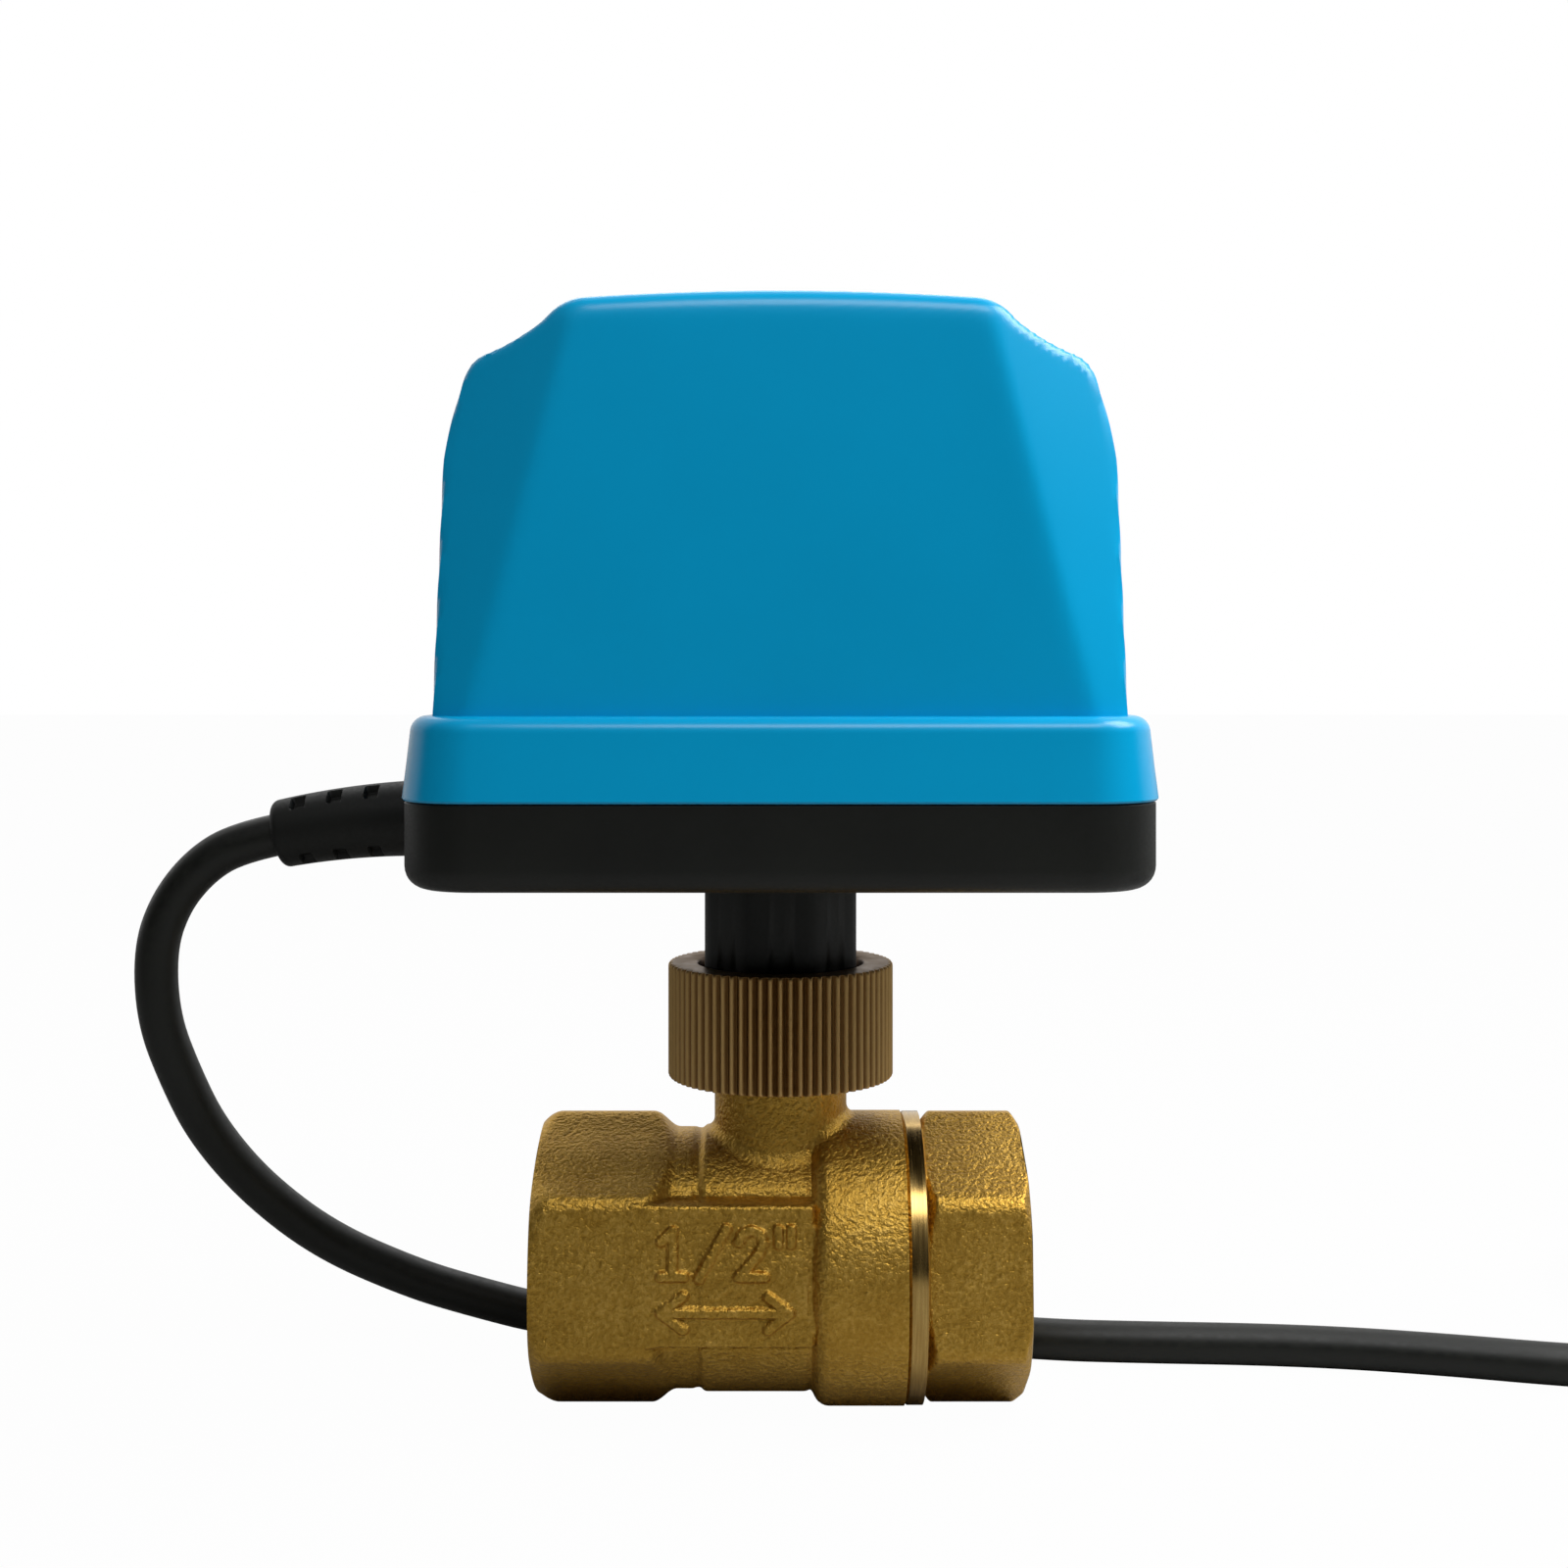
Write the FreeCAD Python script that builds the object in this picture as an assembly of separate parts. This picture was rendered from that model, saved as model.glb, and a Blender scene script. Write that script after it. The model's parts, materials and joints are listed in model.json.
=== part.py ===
import FreeCAD, Part

import math
import os

from FreeCAD import Vector

# A small motorized ball valve: a cast brass two-piece valve body, a knurled union nut and an
# electric actuator in a black base tray with a blue cover, on a flexible three-core lead.
# The part is modelled about the crossing of the pipe axis (X) and the stem axis (Z), with the
# front face towards -Y, and is written out with its origin at the inlet mouth, on the pipe axis.

# Valve body and tail piece
FACE_TO_FACE = 62.0
PORT_BORE_R = 9.3
PORT_DEPTH = 13.5
FLOW_R = 7.5
HEX_APOTHEM = 16.4
HEX_CORNER_R = 4.0
HEX_TURNED_R = 18.35
CHAMFER_START_R = 15.0
CHAMFER_ANGLE = 30.0
INLET_BLOCK = 14.5
INLET_SLOPE = 2.8
WAIST_R = 15.8
WAIST_STEP = 0.4
WAIST_STEP_X = -10.4
BARREL_R = 18.5
BARREL_START = 5.5
BARREL_SLOPE = 2.7
BARREL_END = 15.7
COLLAR_WIDTH = 2.4
COLLAR_GROOVE = 0.4
PAD_LEFT, PAD_RIGHT = -17.0, 4.2
PAD_BOTTOM, PAD_TOP = -7.6, 9.6
PAD_ROUND = 1.2
CAVITY_WALL = 3.1
TAIL_THREAD_R = 13.5
TAIL_THREAD_LENGTH = 6.7

# Ball, seats and stem
BALL_R = 12.0
SEAT_GAP = 0.05
SEAT_BACK = 12.2
SEAT_FRONT = 8.0
SLOT_WIDTH = 5.1
SLOT_FLOOR = 9.2
STEM_R = 4.95
STEM_FIT = 0.05
STEM_SHOULDER_R = 6.8
STEM_SHOULDER = 1.45
WASHER_THICK = 0.8
RING_SECTION_R = 0.95
RING_GROOVE_R = 3.0
RING_HEIGHTS = (19.5, 23.5)
STEM_SQUARE = 6.5
STEM_SQUARE_LENGTH = 8.0

# Stem neck, union nut and snap ring
NECK_HEIGHT = 33.5
NECK_R = 8.6
NECK_ROOT_R = 2.0
NECK_THREAD_R = 11.92
NECK_THREAD_LENGTH = 8.7
NUT_R = 14.65
NUT_HEIGHT = 14.7
NUT_BELOW_NECK_TOP = 9.8
NUT_BORE_R = 12.0
NUT_LIP = 2.5
NUT_LIP_R = 10.75
NUT_FLUTES = 72
FLUTE_DEPTH = 0.55
NUT_CHAMFER = 0.6
SNAP_RING_THICK = 1.1
SNAP_RING_R = 11.5
SNAP_RING_GAP = 5.0
SNAP_GROOVE_DEPTH = 0.9

# Base tray
HOUSING_NECK = 17.6
OCTAGON_APOTHEM = 9.8
BASE_HALF_X, BASE_HALF_Y = 44.4, 33.0
BASE_HEIGHT = 10.05
BASE_CORNER_R = 9.0
BASE_EDGE_R = 2.5
WALL = 2.5
GASKET_WIDTH, GASKET_DEPTH = 1.1, 1.0
PILLAR_X, PILLAR_Y = 37.6, 26.2
PILLAR_R = 3.4
COVER_SCREW_R = 1.5
COVER_SCREW_HEAD_R = 2.8
COVER_SCREW_HEAD = 1.9
COVER_SCREW_SINK = 3.0
SCREW_FIT = 0.05

# Cover
SKIRT_OVERHANG = 0.3
SKIRT_HEIGHT = 9.95
SKIRT_DRAFT = 1.2
SKIRT_EDGE_R = 2.0
COVER_TOP = 59.15
BLOCK_HALF_X = 41.2
BLOCK_HALF_Y = 29.6
BLOCK_CORNER_R = 4.0
BLOCK_TOP_HALF_Y = 28.0
BLOCK_ROOT = 2.0
FACET_START, FACET_SETBACK = 13.4, 3.8
FACET_LEAN = 0.328
COVER_EDGE_R = 2.5
BOSS_HEIGHT = 7.6

# Cover outline seen from the front: each point's inset from the block's side and drop from the peak
KNEE, BEVEL, SHOULDER = (0.7, 17.35), (2.2, 13.5), (3.7, 8.7)
TURNED, BROW, HOLLOW = (4.6, 7.0), (6.3, 6.1), (11.0, 4.8)
RISE, LIP, CROWN = (14.3, 2.9), (16.0, 1.3), (19.4, 0.0)

# Gears and plates
MODULE = 0.8
PRESSURE_ANGLE = 20.0
ADDENDUM, DEDENDUM = 0.8, 1.1
BACKLASH = 0.12
OUTPUT_TEETH, PINION_TEETH, WHEEL_TEETH = 50, 14, 28
GEAR_WIDTH, GEAR_RIM, GEAR_HUB_WALL = 4.0, 5.0, 3.0
WHEEL_WIDTH = 3.0
LAYSHAFT_ANGLE = -12.0
MOTOR_PINION_ANGLE = 165.0
MESH_SLACK = 0.04
RUNNING_FIT = 0.05
AXLE_R, AXLE_SINK = 1.5, 0.5
HUB_R = 4.0
SHAFT_R = 6.0
SHAFT_TOP_R = 5.0
SHAFT_COLLAR_R = 8.0
SHAFT_COLLAR = 0.7
BUSH_R, BUSH_FLANGE_R, BUSH_FLANGE = 7.0, 9.0, 1.0
PLATE = 1.5
PLATE_SIDE_ROOM, PLATE_FRONT_ROOM = 8.9, 5.5
PLATE_CORNER_R = 4.0
POST_INSET, POST_R = 3.3, 2.5
LOWER_POST, UPPER_POST = 7.4, 17.0
POST_STUD_R = 1.5

# Motor
MOTOR_R, MOTOR_HEIGHT = 21.0, 20.0
MOTOR_EDGE_R = 1.5
EAR_X, EAR_R, EAR_THICK = 25.5, 3.6, 1.2
MOTOR_BOSS_R, MOTOR_BOSS = 4.0, 0.8
MOTOR_SHAFT_R = 1.5
MOTOR_SCREW_R = 1.5
MOTOR_SCREW_HEAD_R, MOTOR_SCREW_HEAD = 2.7, 1.8

# Cams and switches
CAM_LOW_R, CAM_RISE = 8.5, 1.0
CAM_WIDTH = 3.6
CAM_GAP = 0.25
SWITCH_LENGTH, SWITCH_DEPTH, SWITCH_THICK = 19.8, 10.2, 5.8
SWITCH_FACE = 11.3
SWITCH_OFFSET = 3.0
PLUNGER_R = 1.2
PLUNGER_INSIDE = 4.0
SWITCH_SHEET = 0.4
SWITCH_SCREW_R, SWITCH_SCREW_PITCH = 1.1, 9.5
SWITCH_SCREW_HEAD_R, SWITCH_SCREW_HEAD = 2.0, 1.5
SWITCH_TAB = (0.5, 3.2, 4.0)

# Circuit board
BOARD_HALF_X, BOARD_HALF_Y, BOARD_THICK = 29.0, 20.0, 1.6
BOARD_ABOVE_MOTOR = 2.4
BOARD_POST_X, BOARD_POST_Y, BOARD_POST_R = 26.0, 16.5, 2.0
BLOCK_LENGTH, BLOCK_DEPTH, BLOCK_HEIGHT = 15.0, 8.0, 8.0
RELAY_SIZE = (18.0, 10.0, 9.0)
CAPACITOR_R, CAPACITOR_HEIGHT, CAPACITOR_PITCH = 3.2, 9.0, 9.0

# Cable
CORD_R = 2.75
CORE_R = 0.9
CORE_SPACING = 1.45
# Each core from the coil's end: along, fanned out, towards the front, down.
CORE_RUN = ((10.0, 2.1, 0.3, 0.7), (16.0, 2.2, 1.1, 1.8), (22.0, 2.5, 2.4, 2.4), (26.2, 2.9, 3.6, 6.1))
CORE_LANDING = ((29.1, 3.2, 4.4, 0.25), (32.0, 3.5, 5.2, 0.0))
CORE_LIFT = 0.5
ENTRY_HEIGHT = 6.05
BOOT_DROOP = 12.0
BOOT_LENGTH = 21.0
BOOT_ROOT_R, BOOT_TIP_R = 4.9, 4.4
BOOT_NECK_R = 2.95
BOOT_FLANGE_WIDTH, BOOT_FLANGE_HEIGHT, BOOT_FLANGE = 11.0, 5.9, 1.4
BOOT_SLOTS, BOOT_SLOT_WIDTH, BOOT_SLOT_DEPTH, BOOT_SLOT_PITCH = 3, 1.5, 1.4, 4.9
BOOT_FIRST_SLOT = 5.0
COIL_R = 30.5
COIL_PITCH = 6.1
COIL_X, COIL_Y, COIL_LEAD, COIL_TAIL = 151.0, 2.6, 5.5, 1.5
COIL_TURN_SIDES = ("right", "left", "right", "climb", "right", "left")
TIE_THICK, TIE_WIDTH = 0.8, 5.0
TIE_SLACK = 0.4
TIP_R, TIP_LENGTH = 0.5, 5.0

# Heights above the pipe axis that follow from the sizes above
NUT_BOTTOM = NECK_HEIGHT - NUT_BELOW_NECK_TOP
NUT_TOP = NUT_BOTTOM + NUT_HEIGHT
LIP_UNDERSIDE = NUT_TOP - NUT_LIP
BASE_BOTTOM = NECK_HEIGHT + HOUSING_NECK
TRAY_FLOOR = BASE_BOTTOM + WALL
SEAM = BASE_BOTTOM + BASE_HEIGHT
SKIRT_TOP = SEAM + SKIRT_HEIGHT
COVER_PEAK = SEAM + COVER_TOP
GEAR_PLATE_Z = TRAY_FLOOR + LOWER_POST
MOTOR_PLATE_Z = GEAR_PLATE_Z + PLATE + UPPER_POST
MOTOR_Z = MOTOR_PLATE_Z + PLATE
BOARD_Z = MOTOR_Z + MOTOR_HEIGHT + BOARD_ABOVE_MOTOR
OUTPUT_GEAR_Z = TRAY_FLOOR + BUSH_FLANGE + 0.1 + SHAFT_COLLAR
WHEEL_Z = MOTOR_PLATE_Z - 1.2 - WHEEL_WIDTH
PLATE_HALF_X = BASE_HALF_X - WALL - PLATE_SIDE_ROOM
PLATE_HALF_Y = BASE_HALF_Y - WALL - PLATE_FRONT_ROOM
SWITCH_Z = (GEAR_PLATE_Z + PLATE, GEAR_PLATE_Z + PLATE + SWITCH_THICK + SWITCH_SHEET)
FLOOR = -BARREL_R
CAVITY_R = WAIST_R - CAVITY_WALL
END_X = FACE_TO_FACE / 2
TO_INLET_MOUTH = Vector(END_X, 0, 0)

X, Y, Z = Vector(1, 0, 0), Vector(0, 1, 0), Vector(0, 0, 1)
CENTRE = Vector(0, 0, 0)


def upright(radius, bottom, top, x=0.0, y=0.0):
    """Round bar that stands along Z."""
    return Part.makeCylinder(radius, top - bottom, Vector(x, y, bottom), Z)


def along_pipe(radius, left, right):
    """Round bar on the pipe axis."""
    return Part.makeCylinder(radius, right - left, Vector(left, 0, 0), X)


def block(x0, x1, y0, y1, z0, z1):
    return Part.makeBox(x1 - x0, y1 - y0, z1 - z0, Vector(x0, y0, z0))


def turned_on_pipe(profile):
    """Solid turned about the pipe axis from (x, radius) points."""
    wire = Part.makePolygon([Vector(x, 0, r) for x, r in profile + profile[:1]])
    return Part.Face(wire).revolve(CENTRE, X, 360)


def turned_on_stem(profile):
    """Solid turned about the stem axis from (radius, z) points."""
    wire = Part.makePolygon([Vector(r, 0, z) for r, z in profile + profile[:1]])
    return Part.Face(wire).revolve(CENTRE, Z, 360)


def rounded_rectangle(half_x, half_y, corner, z):
    """Closed outline at height z, counter-clockwise, with four round corners."""
    a, b, k = half_x - corner, half_y - corner, corner * math.sqrt(0.5)
    edges = []
    for sx, sy, turned in ((1, -1, False), (1, 1, True), (-1, 1, False), (-1, -1, True)):
        on_side = Vector(sx * half_x, sy * b, z)
        on_end = Vector(sx * a, sy * half_y, z)
        middle = Vector(sx * (a + k), sy * (b + k), z)
        first, last = (on_side, on_end) if turned else (on_end, on_side)
        edges.append(Part.Arc(first, middle, last).toShape())
        nxt = {(1, -1): Vector(half_x, b, z), (1, 1): Vector(-a, half_y, z),
               (-1, 1): Vector(-half_x, -b, z), (-1, -1): Vector(a, -half_y, z)}[(sx, sy)]
        edges.append(Part.LineSegment(last, nxt).toShape())
    return Part.Wire(edges)


def rounded_slab(half_x, half_y, corner, bottom, top):
    face = Part.Face(rounded_rectangle(half_x, half_y, corner, bottom))
    return face.extrude(Z * (top - bottom))


def polygon(points):
    return Part.Face(Part.makePolygon(list(points) + [points[0]]))


def fuse(first, *others):
    return first.multiFuse(list(others)).removeSplitter()


def edges_where(shape, test):
    """Edges whose two ends both pass the test."""
    return [e for e in shape.Edges if e.Vertexes and all(test(v.Point) for v in e.Vertexes)]


def write(name, shape):
    """Writes one piece, moved so that the origin is the inlet mouth."""
    if shape.ShapeType == "Compound" and len(shape.Solids) == 1:
        shape = shape.Solids[0]
    if not shape.isValid():
        raise ValueError(f"{name} isn't a valid solid")
    shape.translated(TO_INLET_MOUTH).exportStep(f"parts/{name}.step")
    print(f"{name}: {len(shape.Solids)} solid, {shape.Volume / 1000:.2f} cm3")


def hexagon_bar(left, right):
    """Hexagon bar along the pipe: flats to the front and back, rounded corners up and down."""
    reach = HEX_APOTHEM / math.cos(math.radians(30))
    corners = [Vector(left, reach * math.sin(a), reach * math.cos(a))
               for a in (math.radians(60 * k) for k in range(6))]
    bar = polygon(corners).extrude(X * (right - left))
    return bar.makeFillet(HEX_CORNER_R, edges_where_long(bar, right - left))


def edges_where_long(shape, length):
    return [e for e in shape.Edges if abs(e.Length - length) < 1e-6 and abs(e.tangentAt(0).x) > 0.99]


def end_envelope(outer_x, inner_x):
    """Turned outline of a pipe end: a wide chamfer outside, the turned corners behind it."""
    way = 1 if outer_x > inner_x else -1
    drop = (HEX_TURNED_R - CHAMFER_START_R) * math.tan(math.radians(CHAMFER_ANGLE))
    return turned_on_pipe([(outer_x, 0), (outer_x, CHAMFER_START_R),
                           (outer_x - way * drop, HEX_TURNED_R), (inner_x, HEX_TURNED_R), (inner_x, 0)])


def make_valve_body():
    slope_from = -END_X + INLET_BLOCK
    waist_from = slope_from + INLET_SLOPE
    inlet = hexagon_bar(-END_X, waist_from).common(end_envelope(-END_X, waist_from))
    inlet = inlet.common(turned_on_pipe([(-END_X, 0), (-END_X, HEX_TURNED_R + 1),
                                         (slope_from, HEX_TURNED_R), (waist_from, WAIST_R), (waist_from, 0)]))
    barrel = turned_on_pipe([(slope_from, 0), (slope_from, WAIST_R), (WAIST_STEP_X - WAIST_STEP, WAIST_R),
                             (WAIST_STEP_X, WAIST_R + WAIST_STEP),
                             (BARREL_START - BARREL_SLOPE, WAIST_R + WAIST_STEP),
                             (BARREL_START, BARREL_R), (BARREL_END, BARREL_R), (BARREL_END, 0)])
    pad = block(PAD_LEFT, PAD_RIGHT, -HEX_APOTHEM, 0, PAD_BOTTOM, PAD_TOP)
    pad = pad.makeFillet(PAD_ROUND, edges_where(pad, lambda p: p.y < -1))
    thread_from = NECK_HEIGHT - NECK_THREAD_LENGTH
    saddle = WAIST_R - 1.5
    neck = turned_on_stem([(0, 0), (NECK_R, 0), (NECK_R, thread_from - 1), (NECK_THREAD_R - 1, thread_from),
                           (NECK_THREAD_R, thread_from + 1), (NECK_THREAD_R, NECK_HEIGHT - 0.8),
                           (NECK_THREAD_R - 0.8, NECK_HEIGHT), (0, NECK_HEIGHT)])
    flare = turned_on_stem([(0, saddle), (NECK_R + NECK_ROOT_R, saddle),
                            (NECK_R + 0.3 * NECK_ROOT_R, WAIST_R + 0.6 * NECK_ROOT_R),
                            (NECK_R, WAIST_R + 1.2 * NECK_ROOT_R), (0, WAIST_R + 1.2 * NECK_ROOT_R)])
    body = fuse(inlet, barrel, pad, neck, flare)

    flow = turned_on_pipe([(-END_X, 0), (-END_X, PORT_BORE_R), (-END_X + PORT_DEPTH, PORT_BORE_R),
                           (-END_X + PORT_DEPTH, FLOW_R), (-SEAT_BACK, FLOW_R), (-SEAT_BACK, CAVITY_R),
                           (BARREL_END - TAIL_THREAD_LENGTH - 0.5, CAVITY_R),
                           (BARREL_END - TAIL_THREAD_LENGTH - 0.5, TAIL_THREAD_R),
                           (BARREL_END, TAIL_THREAD_R), (BARREL_END, 0)])
    shoulder_seat = washer_top()
    stem_way = fuse(upright(STEM_SHOULDER_R + STEM_FIT, 0, shoulder_seat),
                    upright(STEM_R + STEM_FIT, 0, NECK_HEIGHT))
    return body.cut(flow).cut(stem_way)


def stem_shoulder_bottom():
    return BALL_R + 0.7


def washer_top():
    return stem_shoulder_bottom() + STEM_SHOULDER + STEM_FIT + WASHER_THICK


def make_tail_piece():
    collar_end = BARREL_END + COLLAR_WIDTH
    hexagon = hexagon_bar(collar_end, END_X).common(end_envelope(END_X, collar_end))
    turned = turned_on_pipe([(BARREL_END - TAIL_THREAD_LENGTH, 0),
                             (BARREL_END - TAIL_THREAD_LENGTH, TAIL_THREAD_R),
                             (BARREL_END, TAIL_THREAD_R), (BARREL_END, BARREL_R - 0.1),
                             (collar_end - COLLAR_GROOVE, BARREL_R - 0.1), (collar_end, HEX_APOTHEM - 0.3),
                             (collar_end, 0)])
    flow = turned_on_pipe([(0, 0), (0, CAVITY_R), (SEAT_BACK, CAVITY_R), (SEAT_BACK, FLOW_R),
                           (END_X - PORT_DEPTH, FLOW_R), (END_X - PORT_DEPTH, PORT_BORE_R),
                           (END_X, PORT_BORE_R), (END_X, 0)])
    return fuse(hexagon, turned).cut(flow)


def make_ball():
    ball = Part.makeSphere(BALL_R)
    slot = block(-SLOT_WIDTH / 2, SLOT_WIDTH / 2, -BALL_R, BALL_R, SLOT_FLOOR, BALL_R + 1)
    return ball.cut(along_pipe(FLOW_R, -BALL_R, BALL_R)).cut(slot)


def make_seat(side):
    ring = along_pipe(CAVITY_R, SEAT_FRONT, SEAT_BACK).cut(along_pipe(FLOW_R, 0, SEAT_BACK))
    ring = ring.cut(Part.makeSphere(BALL_R + SEAT_GAP))
    return ring if side > 0 else ring.rotated(CENTRE, Z, 180)


def make_stem():
    low = stem_shoulder_bottom()
    tang = block(-SLOT_WIDTH / 2 + 0.05, SLOT_WIDTH / 2 - 0.05, -STEM_R, STEM_R, SLOT_FLOOR + 0.1, low + 0.5)
    tang = tang.common(upright(STEM_R, 0, low + 1))
    stem = fuse(tang, upright(STEM_SHOULDER_R, low, low + STEM_SHOULDER), upright(STEM_R, low, NECK_HEIGHT))
    for height in RING_HEIGHTS:
        groove = upright(STEM_R + 1, height - RING_SECTION_R - 0.1, height + RING_SECTION_R + 0.1)
        stem = stem.cut(groove.cut(upright(RING_GROOVE_R, height - 2, height + 2)))
    half = STEM_SQUARE / 2
    square = block(-half, half, -half, half, NECK_HEIGHT - 1, NECK_HEIGHT + STEM_SQUARE_LENGTH)
    return fuse(stem, square.common(upright(half * 1.3, 0, NECK_HEIGHT + STEM_SQUARE_LENGTH)))


def make_stem_rings():
    """Two O-rings in the grooves of the stem."""
    ring_r = STEM_R + STEM_FIT / 2 - RING_SECTION_R
    return Part.Compound([Part.makeTorus(ring_r, RING_SECTION_R, Vector(0, 0, h)) for h in RING_HEIGHTS])


def make_stem_washer():
    top = washer_top()
    disc = upright(STEM_SHOULDER_R, top - WASHER_THICK, top)
    return disc.cut(upright(STEM_R + STEM_FIT, 0, top))


def fluted_outline(radius, depth, count, z):
    """Closed outline of straight flutes: a flat ridge and a flat groove for each."""
    step = 2 * math.pi / count
    points = []
    for k in range(count):
        for r, share in ((radius, -0.30), (radius, 0.16), (radius - depth, 0.34), (radius - depth, 0.52)):
            a = (k + share) * step
            points.append(Vector(r * math.cos(a), r * math.sin(a), z))
    return polygon(points)


def make_union_nut():
    grip = fluted_outline(NUT_R, FLUTE_DEPTH, NUT_FLUTES, NUT_BOTTOM).extrude(Z * NUT_HEIGHT)
    inner = NUT_R - NUT_CHAMFER
    envelope = turned_on_stem([(0, NUT_BOTTOM), (inner, NUT_BOTTOM), (NUT_R, NUT_BOTTOM + NUT_CHAMFER),
                               (NUT_R, NUT_TOP - NUT_CHAMFER), (inner, NUT_TOP), (0, NUT_TOP)])
    nut = grip.common(envelope)
    nut = nut.cut(upright(NUT_BORE_R, NUT_BOTTOM, LIP_UNDERSIDE))
    return nut.cut(upright(NUT_LIP_R, NUT_BOTTOM, NUT_TOP))


def snap_ring_z():
    return LIP_UNDERSIDE - 0.15 - SNAP_RING_THICK


def make_snap_ring():
    z = snap_ring_z()
    inner = OCTAGON_APOTHEM - SNAP_GROOVE_DEPTH
    ring = upright(SNAP_RING_R, z, z + SNAP_RING_THICK).cut(upright(inner, 0, z + SNAP_RING_THICK))
    gap = block(0, SNAP_RING_R + 1, -SNAP_RING_GAP / 2, SNAP_RING_GAP / 2, z - 1, z + SNAP_RING_THICK + 1)
    return ring.cut(gap)


def screw_places():
    return [(sx * PILLAR_X, sy * PILLAR_Y) for sx in (-1, 1) for sy in (-1, 1)]


def post_places():
    x, y = PLATE_HALF_X - POST_INSET, PLATE_HALF_Y - POST_INSET
    return [(sx * x, sy * y) for sx in (-1, 1) for sy in (-1, 1)]


def make_base_housing():
    tray = rounded_slab(BASE_HALF_X, BASE_HALF_Y, BASE_CORNER_R, BASE_BOTTOM, SEAM)
    tray = tray.makeFillet(BASE_EDGE_R, edges_where(tray, lambda p: p.z < BASE_BOTTOM + 0.01))
    inside = rounded_slab(BASE_HALF_X - WALL, BASE_HALF_Y - WALL, BASE_CORNER_R - WALL, TRAY_FLOOR, SEAM)
    tray = tray.cut(inside)
    reach = OCTAGON_APOTHEM / math.cos(math.radians(22.5))
    neck = polygon([Vector(reach * math.cos(math.radians(22.5 + 45 * k)),
                           reach * math.sin(math.radians(22.5 + 45 * k)), LIP_UNDERSIDE + 0.2)
                    for k in range(8)]).extrude(Z * (BASE_BOTTOM + 1 - LIP_UNDERSIDE))
    spigot = upright(OCTAGON_APOTHEM, NECK_HEIGHT, LIP_UNDERSIDE + 1)
    pillars = [upright(PILLAR_R, BASE_BOTTOM + 1, SEAM, x, y) for x, y in screw_places()]
    base = fuse(tray, neck, spigot, *pillars)

    z = snap_ring_z()
    groove = upright(OCTAGON_APOTHEM + 1, z, z + SNAP_RING_THICK)
    base = base.cut(groove.cut(upright(OCTAGON_APOTHEM - SNAP_GROOVE_DEPTH, 0, BASE_BOTTOM)))
    base = base.cut(upright(BUSH_R, 0, SEAM))
    for x, y in screw_places():
        base = base.cut(upright(COVER_SCREW_R + SCREW_FIT, BASE_BOTTOM, SEAM, x, y))
        base = base.cut(upright(COVER_SCREW_HEAD_R + 0.3, BASE_BOTTOM, BASE_BOTTOM + COVER_SCREW_SINK, x, y))
    for x, y in post_places():
        base = base.cut(upright(POST_STUD_R, TRAY_FLOOR - 1.5, SEAM, x, y))
    base = base.cut(gasket_ring())
    entry = Part.makeCylinder(BOOT_NECK_R, 3 * WALL, Vector(-BASE_HALF_X + 1.5 * WALL, 0, entry_z()), X * -1)
    axle_seat = upright(AXLE_R, TRAY_FLOOR - AXLE_SINK, SEAM, *layshaft_place())
    return base.cut(entry).cut(axle_seat)


def gasket_ring():
    middle_x, middle_y = BASE_HALF_X - WALL / 2, BASE_HALF_Y - WALL / 2
    corner = BASE_CORNER_R - WALL / 2
    half = GASKET_WIDTH / 2
    outer = rounded_slab(middle_x + half, middle_y + half, corner + half, SEAM - GASKET_DEPTH, SEAM)
    return outer.cut(rounded_slab(middle_x - half, middle_y - half, corner - half, SEAM - GASKET_DEPTH, SEAM))


def cover_skirt(inset, bottom, top):
    """Drafted rounded tray of the cover's lower edge, or its inside when inset is the wall."""
    half_x, half_y = BASE_HALF_X + SKIRT_OVERHANG - inset, BASE_HALF_Y + SKIRT_OVERHANG - inset
    corner = BASE_CORNER_R + SKIRT_OVERHANG - inset
    lean = SKIRT_DRAFT * (top - bottom) / SKIRT_HEIGHT
    low = rounded_rectangle(half_x, half_y, corner, bottom)
    high = rounded_rectangle(half_x - lean, half_y - lean, corner - lean, top)
    return Part.makeLoft([low, high], True, True)


def shoulder_outline(inset):
    """Front outline of the cover's upper block: straight sides, round shoulders, a hollow
    slope up to a raised flat top. The inset gives the outline of the inside."""
    foot = SKIRT_TOP - BLOCK_ROOT - inset

    def at(point, side_share=1.0, drop_share=1.0):
        return Vector(BLOCK_HALF_X - point[0] - side_share * inset, 0,
                      COVER_PEAK - point[1] - drop_share * inset)

    def mirrored(p):
        return Vector(-p.x, p.y, p.z)

    knee, bevel, shoulder = at(KNEE, 1, 0), at(BEVEL, 1, 0), at(SHOULDER, 1, 0.3)
    turned, brow, hollow = at(TURNED, 1, 0.6), at(BROW), at(HOLLOW)
    rise, lip, crown = at(RISE, 0.8), at(LIP, 0.5), at(CROWN, 0.3)
    corner = Vector(BLOCK_HALF_X - inset, 0, foot)
    arcs = [(knee, bevel, shoulder), (shoulder, turned, brow), (brow, hollow, rise), (rise, lip, crown)]
    ring = [Part.LineSegment(corner, knee)]
    ring += [Part.Arc(*arc) for arc in arcs]
    ring.append(Part.LineSegment(crown, mirrored(crown)))
    ring += [Part.Arc(*[mirrored(p) for p in reversed(arc)]) for arc in reversed(arcs)]
    ring.append(Part.LineSegment(mirrored(knee), mirrored(corner)))
    ring.append(Part.LineSegment(mirrored(corner), corner))
    return Part.Face(Part.Wire([piece.toShape() for piece in ring]))


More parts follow.
